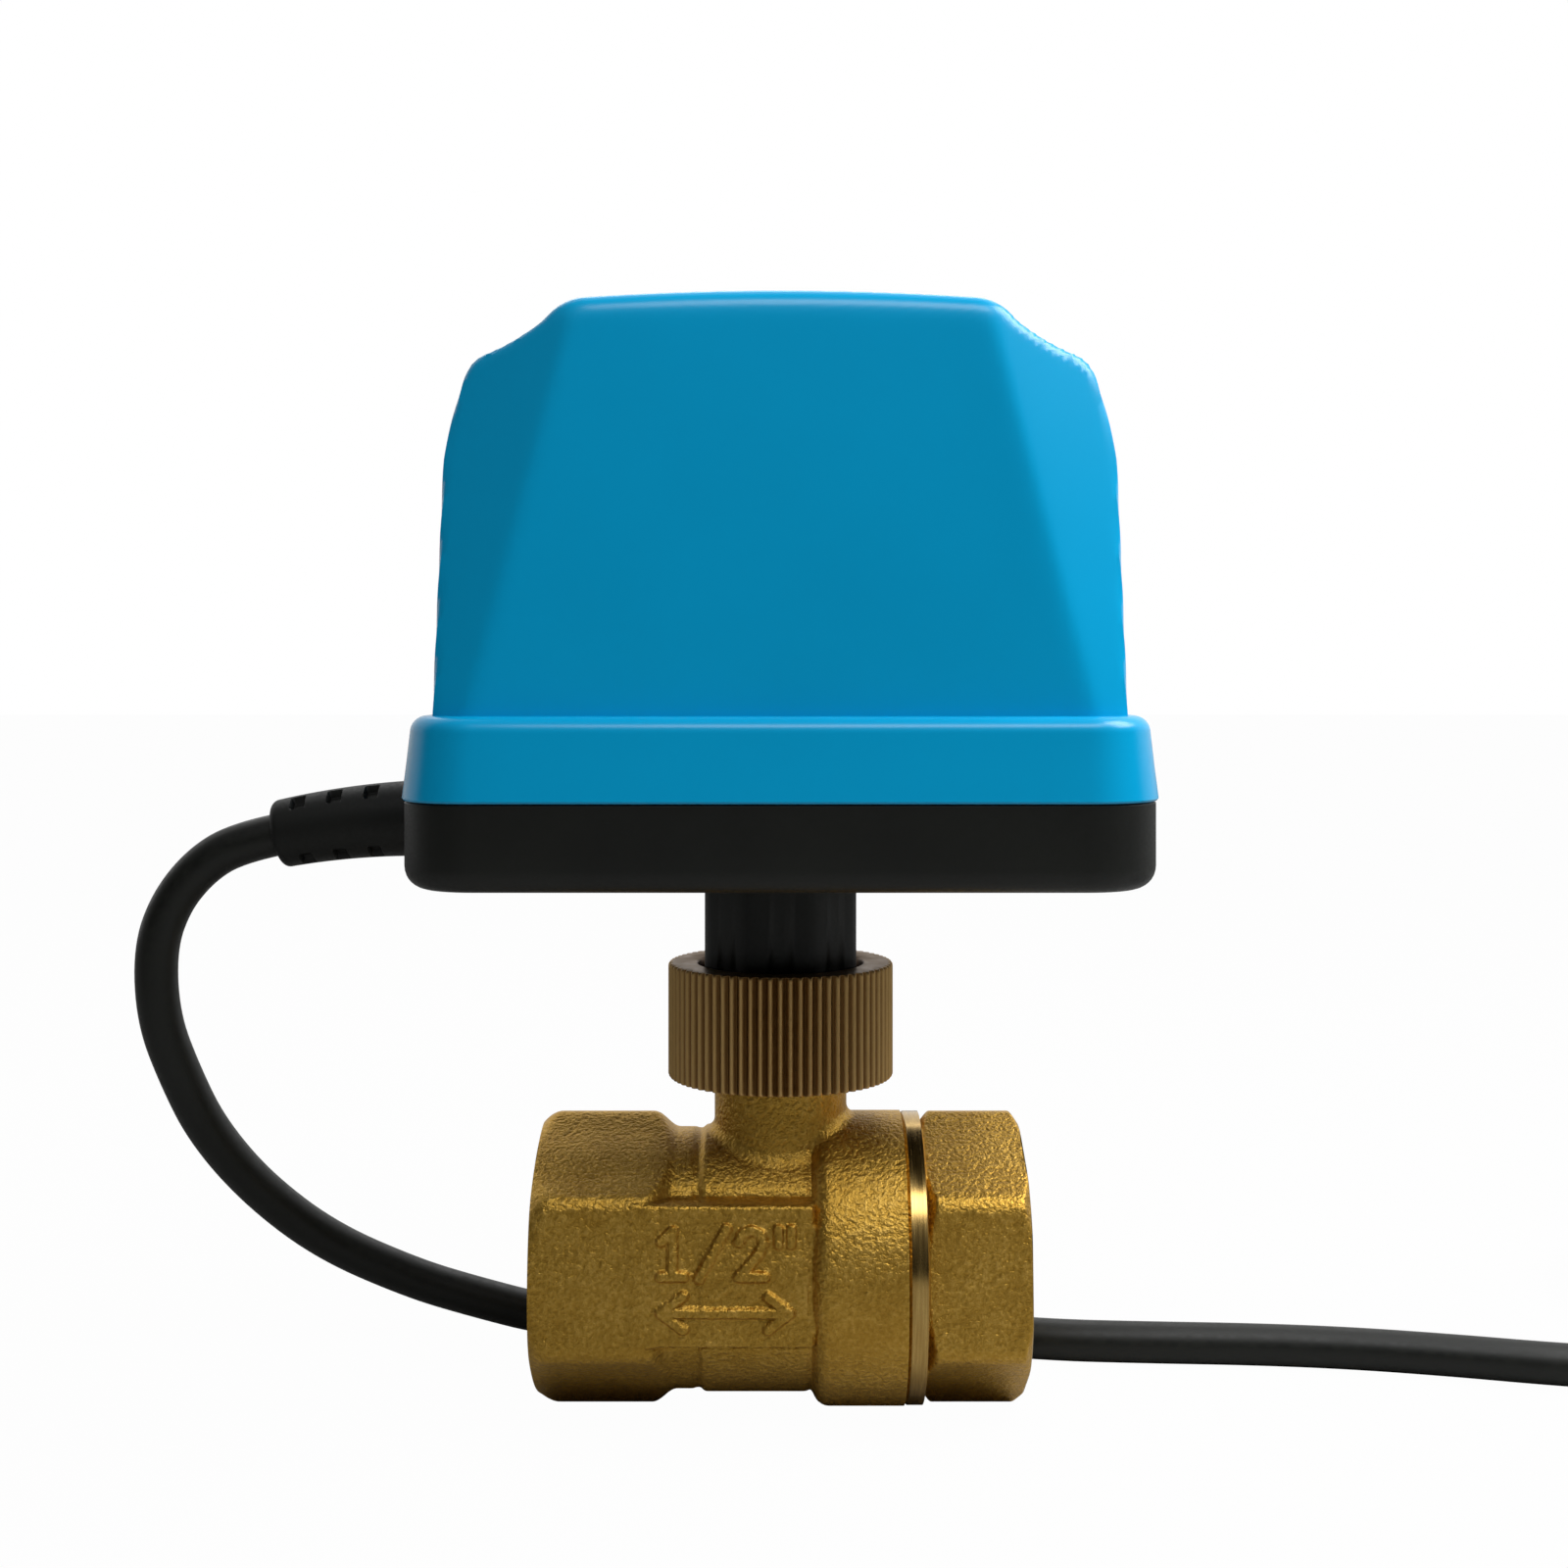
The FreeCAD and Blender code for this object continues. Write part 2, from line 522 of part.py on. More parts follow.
def cover_block(inset):
    """Upper block: the front outline met by the drafted sides and the four leaning facets."""
    depth = 2 * BLOCK_HALF_Y
    front = shoulder_outline(inset).extrude(Y * (2 * depth)).translated(Y * -depth)
    foot, peak = SKIRT_TOP - BLOCK_ROOT - 1 - inset, COVER_PEAK + 1
    lean = (BLOCK_HALF_Y - BLOCK_TOP_HALF_Y) / (COVER_PEAK - SKIRT_TOP)

    def half_y(z):
        return BLOCK_HALF_Y - inset - lean * (z - SKIRT_TOP)

    wide = BLOCK_HALF_X + 1 - inset
    sides = Part.makeLoft([rounded_rectangle(wide, half_y(foot), BLOCK_CORNER_R, foot),
                           rounded_rectangle(wide, half_y(peak), BLOCK_CORNER_R, peak)], True, True)
    facet_z = SEAM + FACET_START
    spread = BLOCK_HALF_X + BLOCK_HALF_Y - FACET_SETBACK - inset * math.sqrt(2)

    def diamond(z):
        s = spread - FACET_LEAN * (z - facet_z)
        return Part.makePolygon([Vector(s, 0, z), Vector(0, s, z), Vector(-s, 0, z), Vector(0, -s, z),
                                 Vector(s, 0, z)])

    facets = Part.makeLoft([diamond(foot), diamond(peak)], True, True)
    return front.common(sides).common(facets)


def rounded_block():
    """Outside of the upper block, with its facets' edges and its front and back top edges round."""
    block_shape = cover_block(0)
    edges = [e for e in block_shape.Edges if e.CenterOfMass.z > SKIRT_TOP + COVER_EDGE_R
             and abs(e.tangentAt((e.FirstParameter + e.LastParameter) / 2).y) < 0.99]
    return block_shape.makeFillet(COVER_EDGE_R, edges)


def make_cover():
    skirt = cover_skirt(0, SEAM, SKIRT_TOP)
    skirt = skirt.makeFillet(SKIRT_EDGE_R, edges_where(skirt, lambda p: p.z > SKIRT_TOP - 0.01))
    shell = fuse(skirt, rounded_block())
    hollow = fuse(cover_skirt(WALL, SEAM, SKIRT_TOP - WALL), cover_block(WALL))
    bosses = [upright(PILLAR_R, SEAM, SEAM + BOSS_HEIGHT, x, y) for x, y in screw_places()]
    cover = fuse(shell.cut(hollow), *bosses)
    for x, y in screw_places():
        cover = cover.cut(upright(COVER_SCREW_R, SEAM, SEAM + BOSS_HEIGHT - 1, x, y))
    return cover


def make_cover_screws():
    """Four pan-head screws, put in from below."""
    head_top = BASE_BOTTOM + COVER_SCREW_SINK
    screws = []
    for x, y in screw_places():
        head = upright(COVER_SCREW_HEAD_R, head_top - COVER_SCREW_HEAD, head_top, x, y)
        shank = upright(COVER_SCREW_R, head_top, SEAM + BOSS_HEIGHT - 1.5, x, y)
        slot = block(x - COVER_SCREW_HEAD_R, x + COVER_SCREW_HEAD_R, y - 0.4, y + 0.4,
                     head_top - COVER_SCREW_HEAD, head_top - COVER_SCREW_HEAD + 0.7)
        screws.append(fuse(head, shank).cut(slot))
    return Part.Compound(screws)


def tooth_half_angle(teeth, radius):
    """Half the angle that a tooth takes up at the given radius, on the involute."""
    pitch_r = MODULE * teeth / 2
    alpha = math.radians(PRESSURE_ANGLE)
    base_r = pitch_r * math.cos(alpha)
    here = math.acos(min(1.0, base_r / radius))
    at_pitch = (math.pi * MODULE / 2 - BACKLASH) / (2 * pitch_r)
    return at_pitch + (math.tan(alpha) - alpha) - (math.tan(here) - here)


def gear_disc(teeth, width, x, y, z, tooth_at):
    """Spur gear with involute flanks; one tooth points along the angle tooth_at, in degrees."""
    pitch_r = MODULE * teeth / 2
    root_r, tip_r = pitch_r - DEDENDUM * MODULE, pitch_r + ADDENDUM * MODULE
    base_r = pitch_r * math.cos(math.radians(PRESSURE_ANGLE))
    start = max(base_r, root_r + 0.05)
    radii = [start, (start + pitch_r) / 2, pitch_r, (pitch_r + tip_r) / 2, tip_r]
    points = []
    for k in range(teeth):
        middle = math.radians(tooth_at) + 2 * math.pi * k / teeth
        flank = [(root_r, tooth_half_angle(teeth, start))] + [(r, tooth_half_angle(teeth, r)) for r in radii]
        for r, half in flank:
            points.append(Vector(x + r * math.cos(middle - half), y + r * math.sin(middle - half), z))
        for r, half in reversed(flank):
            points.append(Vector(x + r * math.cos(middle + half), y + r * math.sin(middle + half), z))
    return polygon(points).extrude(Z * width)


def mesh_distance(teeth, other):
    return MODULE * (teeth + other) / 2 + MESH_SLACK


def around(x, y, distance, angle):
    a = math.radians(angle)
    return x + distance * math.cos(a), y + distance * math.sin(a)


def layshaft_place():
    return around(0, 0, mesh_distance(OUTPUT_TEETH, PINION_TEETH), LAYSHAFT_ANGLE)


def motor_pinion_place():
    return around(*layshaft_place(), mesh_distance(WHEEL_TEETH, PINION_TEETH), MOTOR_PINION_ANGLE)


def shaft_top():
    return SWITCH_Z[1] + SWITCH_THICK


def make_output_shaft():
    socket = STEM_SQUARE / 2 + 0.05
    collar_z = TRAY_FLOOR + BUSH_FLANGE + 0.1
    shaft = fuse(upright(SHAFT_R, NECK_HEIGHT + 0.4, GEAR_PLATE_Z - 0.5),
                 upright(SHAFT_COLLAR_R, collar_z, collar_z + SHAFT_COLLAR),
                 upright(SHAFT_TOP_R, GEAR_PLATE_Z - 1, shaft_top()))
    shaft = shaft.cut(block(-socket, socket, -socket, socket, 0, NECK_HEIGHT + STEM_SQUARE_LENGTH + 0.3))
    return shaft.cut(block(-SHAFT_TOP_R, SHAFT_TOP_R, -0.6, 0.6, shaft_top() - 1.2, shaft_top() + 1))


def make_shaft_bush():
    bush = fuse(upright(BUSH_R, NECK_HEIGHT + 0.4, TRAY_FLOOR + 0.5),
                upright(BUSH_FLANGE_R, TRAY_FLOOR, TRAY_FLOOR + BUSH_FLANGE))
    return bush.cut(upright(SHAFT_R + RUNNING_FIT, 0, SEAM))


def make_output_gear():
    gear = gear_disc(OUTPUT_TEETH, GEAR_WIDTH, 0, 0, OUTPUT_GEAR_Z, LAYSHAFT_ANGLE)
    web_r = MODULE * OUTPUT_TEETH / 2 - GEAR_RIM
    web = upright(web_r, OUTPUT_GEAR_Z + GEAR_WIDTH - 1, OUTPUT_GEAR_Z + GEAR_WIDTH)
    gear = gear.cut(web.cut(upright(SHAFT_R + GEAR_HUB_WALL, 0, SEAM)))
    return gear.cut(upright(SHAFT_R, 0, SEAM))


def make_layshaft():
    """Compound gear: a pinion low down and a wheel high up on one long hub."""
    x, y = layshaft_place()
    pinion_at = LAYSHAFT_ANGLE + 180 + 180 / PINION_TEETH
    pinion = gear_disc(PINION_TEETH, GEAR_WIDTH + 0.6, x, y, OUTPUT_GEAR_Z - 0.3, pinion_at)
    wheel = gear_disc(WHEEL_TEETH, WHEEL_WIDTH, x, y, WHEEL_Z, MOTOR_PINION_ANGLE)
    hub = upright(HUB_R, OUTPUT_GEAR_Z - 0.3, WHEEL_Z + WHEEL_WIDTH + 0.6, x, y)
    return fuse(pinion, wheel, hub).cut(upright(AXLE_R + RUNNING_FIT, 0, COVER_PEAK, x, y))


def make_layshaft_axle():
    x, y = layshaft_place()
    return upright(AXLE_R, TRAY_FLOOR - AXLE_SINK, MOTOR_PLATE_Z + PLATE, x, y)


def make_motor_pinion():
    x, y = motor_pinion_place()
    tooth_at = MOTOR_PINION_ANGLE + 180 + 180 / PINION_TEETH
    pinion = gear_disc(PINION_TEETH, WHEEL_WIDTH + 0.6, x, y, WHEEL_Z - 0.3, tooth_at)
    return pinion.cut(upright(MOTOR_SHAFT_R, 0, COVER_PEAK, x, y))


def plate(z, holes):
    sheet = rounded_slab(PLATE_HALF_X, PLATE_HALF_Y, PLATE_CORNER_R, z, z + PLATE)
    for x, y in post_places():
        sheet = sheet.cut(upright(POST_STUD_R, z - 1, z + PLATE + 1, x, y))
    for radius, x, y in holes:
        sheet = sheet.cut(upright(radius, z - 1, z + PLATE + 1, x, y))
    return sheet


def switch_screw_places():
    x = -SWITCH_FACE - SWITCH_DEPTH + 2.5
    return [(x, SWITCH_OFFSET + side * SWITCH_SCREW_PITCH / 2) for side in (-1, 1)]


def make_gear_plate():
    holes = [(SHAFT_TOP_R + RUNNING_FIT, 0, 0), (HUB_R + 0.5, *layshaft_place())]
    holes += [(SWITCH_SCREW_R, x, y) for x, y in switch_screw_places()]
    return plate(GEAR_PLATE_Z, holes)


def make_motor_plate():
    holes = [(AXLE_R, *layshaft_place()), (MOTOR_BOSS_R, *motor_pinion_place())]
    holes += [(MOTOR_SCREW_R, side * EAR_X, 0) for side in (-1, 1)]
    holes += [(1.2, x, y) for x, y in board_post_places()]
    return plate(MOTOR_PLATE_Z, holes)


def make_posts(bottom, length):
    """Four turned posts, each with a stud above and below."""
    return Part.Compound([fuse(upright(POST_R, bottom, bottom + length, x, y),
                               upright(POST_STUD_R, bottom - 0.7, bottom + length + PLATE / 2 - 0.05, x, y))
                          for x, y in post_places()])


def make_motor():
    can = upright(MOTOR_R, MOTOR_Z, MOTOR_Z + MOTOR_HEIGHT)
    can = can.makeFillet(MOTOR_EDGE_R, edges_where(can, lambda p: p.z > MOTOR_Z + 1))
    pieces = [can, upright(MOTOR_BOSS_R, MOTOR_Z - MOTOR_BOSS, MOTOR_Z, *motor_pinion_place())]
    for side in (-1, 1):
        bar = block(0, EAR_X, -EAR_R, EAR_R, MOTOR_Z, MOTOR_Z + EAR_THICK)
        ear = fuse(bar, upright(EAR_R, MOTOR_Z, MOTOR_Z + EAR_THICK, EAR_X, 0))
        ear = ear.cut(upright(MOTOR_SCREW_R, 0, COVER_PEAK, EAR_X, 0))
        pieces.append(ear if side > 0 else ear.rotated(CENTRE, Z, 180))
    motor = fuse(*pieces)
    return motor.cut(upright(MOTOR_SHAFT_R + RUNNING_FIT, 0, MOTOR_Z + 3, *motor_pinion_place()))


def make_motor_shaft():
    return upright(MOTOR_SHAFT_R, WHEEL_Z - 0.3, MOTOR_Z + 2.9, *motor_pinion_place())


def make_motor_screws():
    screws = []
    for side in (-1, 1):
        head_z = MOTOR_Z + EAR_THICK
        head = upright(MOTOR_SCREW_HEAD_R, head_z, head_z + MOTOR_SCREW_HEAD, side * EAR_X, 0)
        screws.append(fuse(head, upright(MOTOR_SCREW_R, MOTOR_PLATE_Z + 0.1, head_z, side * EAR_X, 0)))
    return Part.Compound(screws)


def cam_level(index):
    return SWITCH_Z[index] + (SWITCH_THICK - CAM_WIDTH) / 2


def make_cam(index, way):
    """Disc cam whose radius runs evenly over the quarter turn that passes the switch.

    way is +1 where the radius grows from a quarter turn before the switch to the switch, so the
    plunger is let out as the shaft turns, and -1 where it falls, so the plunger is pushed in.
    """
    def radius(angle):
        through = (angle - 90) / 90
        if angle <= 180:
            share = min(1.0, max(0.0, through))
        else:
            share = 1 - min(1.0, max(0.0, (angle - 250) / 90))
        return CAM_LOW_R + CAM_RISE * (share if way > 0 else 1 - share)

    z = cam_level(index)
    step = 10
    points = [Vector(radius(a + 70) * math.cos(math.radians(a + 70)),
                     radius(a + 70) * math.sin(math.radians(a + 70)), z) for a in range(0, 360, step)]
    curve = Part.BSplineCurve()
    curve.interpolate(Points=points, PeriodicFlag=True)
    disc = Part.Face(Part.Wire([curve.toShape()])).extrude(Z * CAM_WIDTH)
    return disc.cut(upright(SHAFT_TOP_R, 0, COVER_PEAK))


def make_switch(index):
    z = SWITCH_Z[index]
    back = -SWITCH_FACE - SWITCH_DEPTH
    y0 = SWITCH_OFFSET - SWITCH_LENGTH / 2
    case = block(back, -SWITCH_FACE, y0, y0 + SWITCH_LENGTH, z, z + SWITCH_THICK)
    across, tall, out = SWITCH_TAB
    tabs = []
    for k in (-1, 0, 1):
        y = SWITCH_OFFSET + 7.4 * k
        tabs.append(block(back - out, back + 0.5, y - tall / 2, y + tall / 2, z + 2.6, z + 2.6 + across))
    case = fuse(case, *tabs)
    middle = z + SWITCH_THICK / 2
    case = case.cut(Part.makeCylinder(PLUNGER_R + RUNNING_FIT, PLUNGER_INSIDE + CAM_RISE + 0.3,
                                      Vector(-SWITCH_FACE, 0, middle), X * -1))
    for x, y in switch_screw_places():
        case = case.cut(upright(SWITCH_SCREW_R, z - 1, z + SWITCH_THICK + 1, x, y))
    return case


def make_plunger(index, pressed):
    tip = -(CAM_LOW_R + CAM_GAP + (CAM_RISE if pressed else 0))
    back = -SWITCH_FACE - PLUNGER_INSIDE - (CAM_RISE if pressed else 0)
    middle = SWITCH_Z[index] + SWITCH_THICK / 2
    pin = Part.makeCylinder(PLUNGER_R, tip - back, Vector(back, 0, middle), X)
    return pin.makeFillet(0.5, [e for e in pin.Edges if abs(e.CenterOfMass.x - tip) < 0.01])


def make_switch_sheet():
    z = SWITCH_Z[0] + SWITCH_THICK
    y0 = SWITCH_OFFSET - SWITCH_LENGTH / 2
    sheet = block(-SWITCH_FACE - SWITCH_DEPTH, -SWITCH_FACE, y0, y0 + SWITCH_LENGTH, z, z + SWITCH_SHEET)
    for x, y in switch_screw_places():
        sheet = sheet.cut(upright(SWITCH_SCREW_R, z - 1, z + 2, x, y))
    return sheet


def make_switch_screws():
    top = SWITCH_Z[1] + SWITCH_THICK
    return Part.Compound([fuse(upright(SWITCH_SCREW_R, GEAR_PLATE_Z - 0.5, top, x, y),
                               upright(SWITCH_SCREW_HEAD_R, top, top + SWITCH_SCREW_HEAD, x, y))
                          for x, y in switch_screw_places()])


def board_post_places():
    return [(sx * BOARD_POST_X, sy * BOARD_POST_Y) for sx in (-1, 1) for sy in (-1, 1)]


def make_board_posts():
    return Part.Compound([fuse(upright(BOARD_POST_R, MOTOR_Z, BOARD_Z, x, y),
                               upright(1.2, MOTOR_PLATE_Z + 0.2, BOARD_Z + BOARD_THICK + 1, x, y))
                          for x, y in board_post_places()])


def make_circuit_board():
    board = rounded_slab(BOARD_HALF_X, BOARD_HALF_Y, 2.0, BOARD_Z, BOARD_Z + BOARD_THICK)
    for x, y in board_post_places():
        board = board.cut(upright(1.2, BOARD_Z - 1, BOARD_Z + 3, x, y))
    return board


def make_terminal_block():
    z = BOARD_Z + BOARD_THICK
    left = -BOARD_HALF_X + 1.5
    case = block(left, left + BLOCK_DEPTH, -BLOCK_LENGTH / 2, BLOCK_LENGTH / 2, z, z + BLOCK_HEIGHT)
    case = case.makeChamfer(1.5, edges_where(case, lambda p: p.z > z + 1 and p.x < left + 1))
    for k in (-1, 0, 1):
        case = case.cut(upright(1.6, z + BLOCK_HEIGHT - 2.5, z + BLOCK_HEIGHT + 1, left + 5, 4.8 * k))
        mouth = Part.makeCylinder(CORE_R + 0.1, 3.0, Vector(left, 4.8 * k, z + 2.6), X)
        case = case.cut(mouth)
    return case


def make_relay():
    length, depth, height = RELAY_SIZE
    z = BOARD_Z + BOARD_THICK
    case = block(-length / 2 - 2, length / 2 - 2, -depth / 2 + 6, depth / 2 + 6, z, z + height)
    return case.makeFillet(0.8, edges_where(case, lambda p: p.z > z + 1))


def make_capacitors():
    z = BOARD_Z + BOARD_THICK
    cans = []
    for k in (0, 1):
        can = upright(CAPACITOR_R, z, z + CAPACITOR_HEIGHT, 16, -9 + k * CAPACITOR_PITCH)
        cans.append(can.makeFillet(0.6, edges_where(can, lambda p: p.z > z + 1)))
    return Part.Compound(cans)


def entry_z():
    return BASE_BOTTOM + ENTRY_HEIGHT


def boot_root():
    """Centre of the boot where it leaves the base tray's left wall."""
    return Vector(-BASE_HALF_X - SKIRT_OVERHANG - 0.1, 0, entry_z())


def boot_at(distance):
    """Centre and heading of the boot, which droops evenly along its length."""
    bend_r = BOOT_LENGTH / math.radians(BOOT_DROOP)
    a = distance / bend_r
    heading = Vector(-math.cos(a), 0, -math.sin(a))
    return boot_root() + Vector(-bend_r * math.sin(a), 0, bend_r * (math.cos(a) - 1)), heading


def boot_wire(first, last):
    """Centre line of the boot between two distances from the wall."""
    stops = [boot_at(first + (last - first) * share)[0] for share in (0, 0.5, 1)]
    return Part.Wire([Part.Arc(*stops).toShape()])


def boot_ring(distance, radius):
    centre, heading = boot_at(distance)
    return Part.Wire([Part.Circle(centre, heading, radius).toShape()])


def make_strain_relief():
    """Tapered boot with slots above and below, a neck through the wall and a flange inside."""
    sections = [boot_ring(BOOT_LENGTH * share, BOOT_ROOT_R + (BOOT_TIP_R - BOOT_ROOT_R) * share)
                for share in (0, 0.34, 0.67, 1)]
    boot = Part.makeLoft(sections, True, False)
    for k in range(BOOT_SLOTS):
        place, heading = boot_at(BOOT_FIRST_SLOT + k * BOOT_SLOT_PITCH)
        tilt = math.degrees(math.atan2(-heading.z, -heading.x))
        for side in (-1, 1):
            tool = Part.makeBox(BOOT_SLOT_WIDTH, 2 * BOOT_ROOT_R, BOOT_ROOT_R,
                                Vector(-BOOT_SLOT_WIDTH / 2, -BOOT_ROOT_R, BOOT_ROOT_R - BOOT_SLOT_DEPTH))
            tool.rotate(CENTRE, Y, -tilt if side > 0 else 180 - tilt)
            tool.translate(place)
            boot = boot.cut(tool)
    root = boot_root()
    inside_x = -BASE_HALF_X + WALL
    neck = Part.makeCylinder(BOOT_NECK_R, inside_x - root.x + 0.5, Vector(root.x - 0.5, 0, root.z), X)
    flange = block(inside_x, inside_x + BOOT_FLANGE, -BOOT_FLANGE_WIDTH / 2, BOOT_FLANGE_WIDTH / 2,
                   root.z - BOOT_FLANGE_HEIGHT / 2, root.z + BOOT_FLANGE_HEIGHT / 2)
    return fuse(boot, neck, flange).cut(jacket_inside())


def jacket_inside():
    """The jacket from the boot's tip to just inside the tray, bored out of the boot."""
    root = boot_root()
    inner_x = -BASE_HALF_X + WALL + BOOT_FLANGE + 1.5
    bent = boot_wire(0, BOOT_LENGTH).makePipeShell([boot_ring(0, CORD_R)], True, False)
    level = Part.makeCylinder(CORD_R, inner_x - root.x, root, X)
    return fuse(bent, level)


def rounded_path(points, share=0.45):
    """Straight runs joined by tangent arcs, each as large as its two runs allow."""
    edges, radii, start = [], [], points[0]
    for before, corner, after in zip(points, points[1:], points[2:]):
        back, ahead = before - corner, after - corner
        trim = share * min(back.Length, ahead.Length)
        back.normalize()
        ahead.normalize()
        half_turn = (math.pi - back.getAngle(ahead)) / 2
        radius = trim / math.tan(half_turn)
        inward = (back + ahead).normalize()
        first, last = corner + back * trim, corner + ahead * trim
        middle = corner + inward * (radius / math.cos(half_turn) - radius)
        edges.append(Part.LineSegment(start, first).toShape())
        edges.append(Part.Arc(first, middle, last).toShape())
        radii.append(radius)
        start = last
    edges.append(Part.LineSegment(start, points[-1]).toShape())
    return Part.Wire(edges), radii


def tube(wire, radius):
    """Round solid carried along a smooth wire."""
    first = wire.OrderedEdges[0]
    place, heading = first.valueAt(first.FirstParameter), first.tangentAt(first.FirstParameter)
    ring = Part.Wire([Part.Circle(place, heading, radius).toShape()])
    return wire.makePipeShell([ring], True, False)


def coil_start():
    """Where the cable meets the coil, on the floor beyond the right of the valve."""
    return Vector(COIL_X - COIL_LEAD, COIL_Y, FLOOR + CORD_R + TIE_THICK)


def cable_route():
    """The free stretch, from the boot's tip, down in a loop, behind the body and along the floor."""
    low = FLOOR + CORD_R
    end = coil_start()
    chosen = [(-75.7, 0, 51.0), (-79.6, 0, 46.3), (-81.8, 0, 40.1), (-81.5, 0.4, 30.9), (-79.2, 2.0, 23.2),
              (-76.7, 5.9, 14.9), (-71.7, 11.8, 5.7), (-63.3, 16.5, -2.9), (-51.9, 19.2, -8.9),
              (-43.9, 20.5, -11.8), (-32.6, 21.8, -15.2), (-20.0, 22.5, low), (-5.0, 22.0, low),
              (10.0, 20.3, low), (24.0, 17.0, low), (37.0, 13.6, low), (50.0, 12.6, low),
              (64.0, 11.9, low), (77.0, 10.4, low), (90.0, 7.6, low), (102.5, 4.2, low),
              (114.0, 2.0, low), (125.5, 1.6, low + 0.2)]
    tip, heading = boot_at(BOOT_LENGTH)
    route = [tip, tip + heading * 5.5] + [Vector(*p) for p in chosen]
    return route + [Vector(end.x - 9.0, end.y, end.z), end]


def coil_wire():
    """Half turns that spiral in on the floor, climb one layer and spiral out again."""
    start = coil_start()
    half = COIL_PITCH / 2
    at, radius, heading = start + X * COIL_LEAD, COIL_R, 1
    edges = [Part.LineSegment(start, at)]
    for side in COIL_TURN_SIDES:
        reach = 2 * radius * heading
        rise = COIL_PITCH if side == "climb" else 0
        end = at + Vector(0, reach, rise)
        out = 1 if side == "right" else -1
        middle = (at + end) * 0.5 + X * (out * (end - at).Length / 2)
        edges.append(Part.Arc(at, middle, end))
        at, heading = end, -heading
        radius += half if at.z > start.z + 1 else -half
    edges.append(Part.LineSegment(at, at + X * COIL_TAIL))
    return Part.Wire([e.toShape() for e in edges])


def least_self_gap(wire, own_r):
    """Least gap between stretches of the wire more than half a turn apart, measured on points."""
    points = wire.discretize(Number=400)
    step = wire.Length / 399
    apart = int(2.5 * COIL_R / step)
    return min((points[i] - points[j]).Length for i in range(400) for j in range(i + apart, 400)) - 2 * own_r


def make_coil_tie():
    """Flat strap round the three strands at the back of the coil."""
    low = FLOOR + TIE_THICK - TIE_SLACK / 2
    span = COIL_PITCH + 2 * CORD_R + TIE_SLACK
    outer_y = coil_start().y + 2 * COIL_R + CORD_R + TIE_SLACK / 2
    middle = Vector(COIL_X, outer_y - span / 2, low + span / 2)

    def ring(half, corner):
        wire = rounded_rectangle(half, half, corner, -TIE_WIDTH / 2)
        solid = Part.Face(wire).extrude(Z * TIE_WIDTH)
        solid.rotate(CENTRE, Y, 90)
        return solid.translated(middle)

    inner_half, inner_corner = span / 2, CORD_R + TIE_SLACK / 2
    thick = TIE_THICK - TIE_SLACK / 2
    return ring(inner_half + thick, inner_corner + thick).cut(ring(inner_half, inner_corner))


def core_routes():
    """Centre lines of the three bare cores, from the coil's upper end over it and down."""
    wire = coil_wire()
    end = wire.OrderedEdges[-1].valueAt(wire.OrderedEdges[-1].LastParameter)
    drop = end.z - FLOOR - CORE_R
    routes = []
    for k, side in enumerate((0, -1, 1)):
        a = math.radians(90 + 120 * k)
        root = end + Vector(0, CORE_SPACING * 0.8 * math.cos(a), CORE_SPACING * 0.8 * math.sin(a))
        steps = [(along, fan * side - front, -down) for along, fan, front, down in CORE_RUN]
        steps += [(along, fan * side - front, up - drop) for along, fan, front, up in CORE_LANDING]
        route = [root, root + X * 4] + [end + Vector(*step) for step in steps]
        if side == 0:
            route[2] += Z * CORE_LIFT
        routes.append(route)
    return routes


def make_lead_wires():
    return Part.Compound([tube(rounded_path(route)[0], CORE_R) for route in core_routes()])


def make_lead_tips():
    tips = []
    for route in core_routes():
        heading = (route[-1] - route[-2]).normalize()
        tips.append(Part.makeCylinder(TIP_R, TIP_LENGTH, route[-1], heading))
    return Part.Compound(tips)


def make_inner_leads():
    """Three cores inside the housing, from the jacket's end up the left side to the terminals."""
    start_x = -BASE_HALF_X + WALL + BOOT_FLANGE + 1.5
    rise_x = -PLATE_HALF_X - 2.3
    z = BOARD_Z + BOARD_THICK + 2.6
    left = -BOARD_HALF_X + 1.5
    leads = []
    for k in (-1, 0, 1):
        points = [Vector(start_x, 1.5 * k, entry_z()), Vector(rise_x, 1.5 * k, entry_z()),
                  Vector(rise_x, 4.8 * k, z), Vector(left + 2.8, 4.8 * k, z)]
        leads.append(tube(rounded_path(points)[0], CORE_R - 0.2))
    return Part.Compound(leads)


def report_cord(wire, radii, solid, name):
    share = solid.Volume / (math.pi * CORD_R ** 2 * wire.Length)
    print(f"{name}: {wire.Length:.1f} mm long, volume {share:.4f} of section times length")
    if radii:
        print("bend radii:", " ".join(f"{r:.0f}" for r in radii))


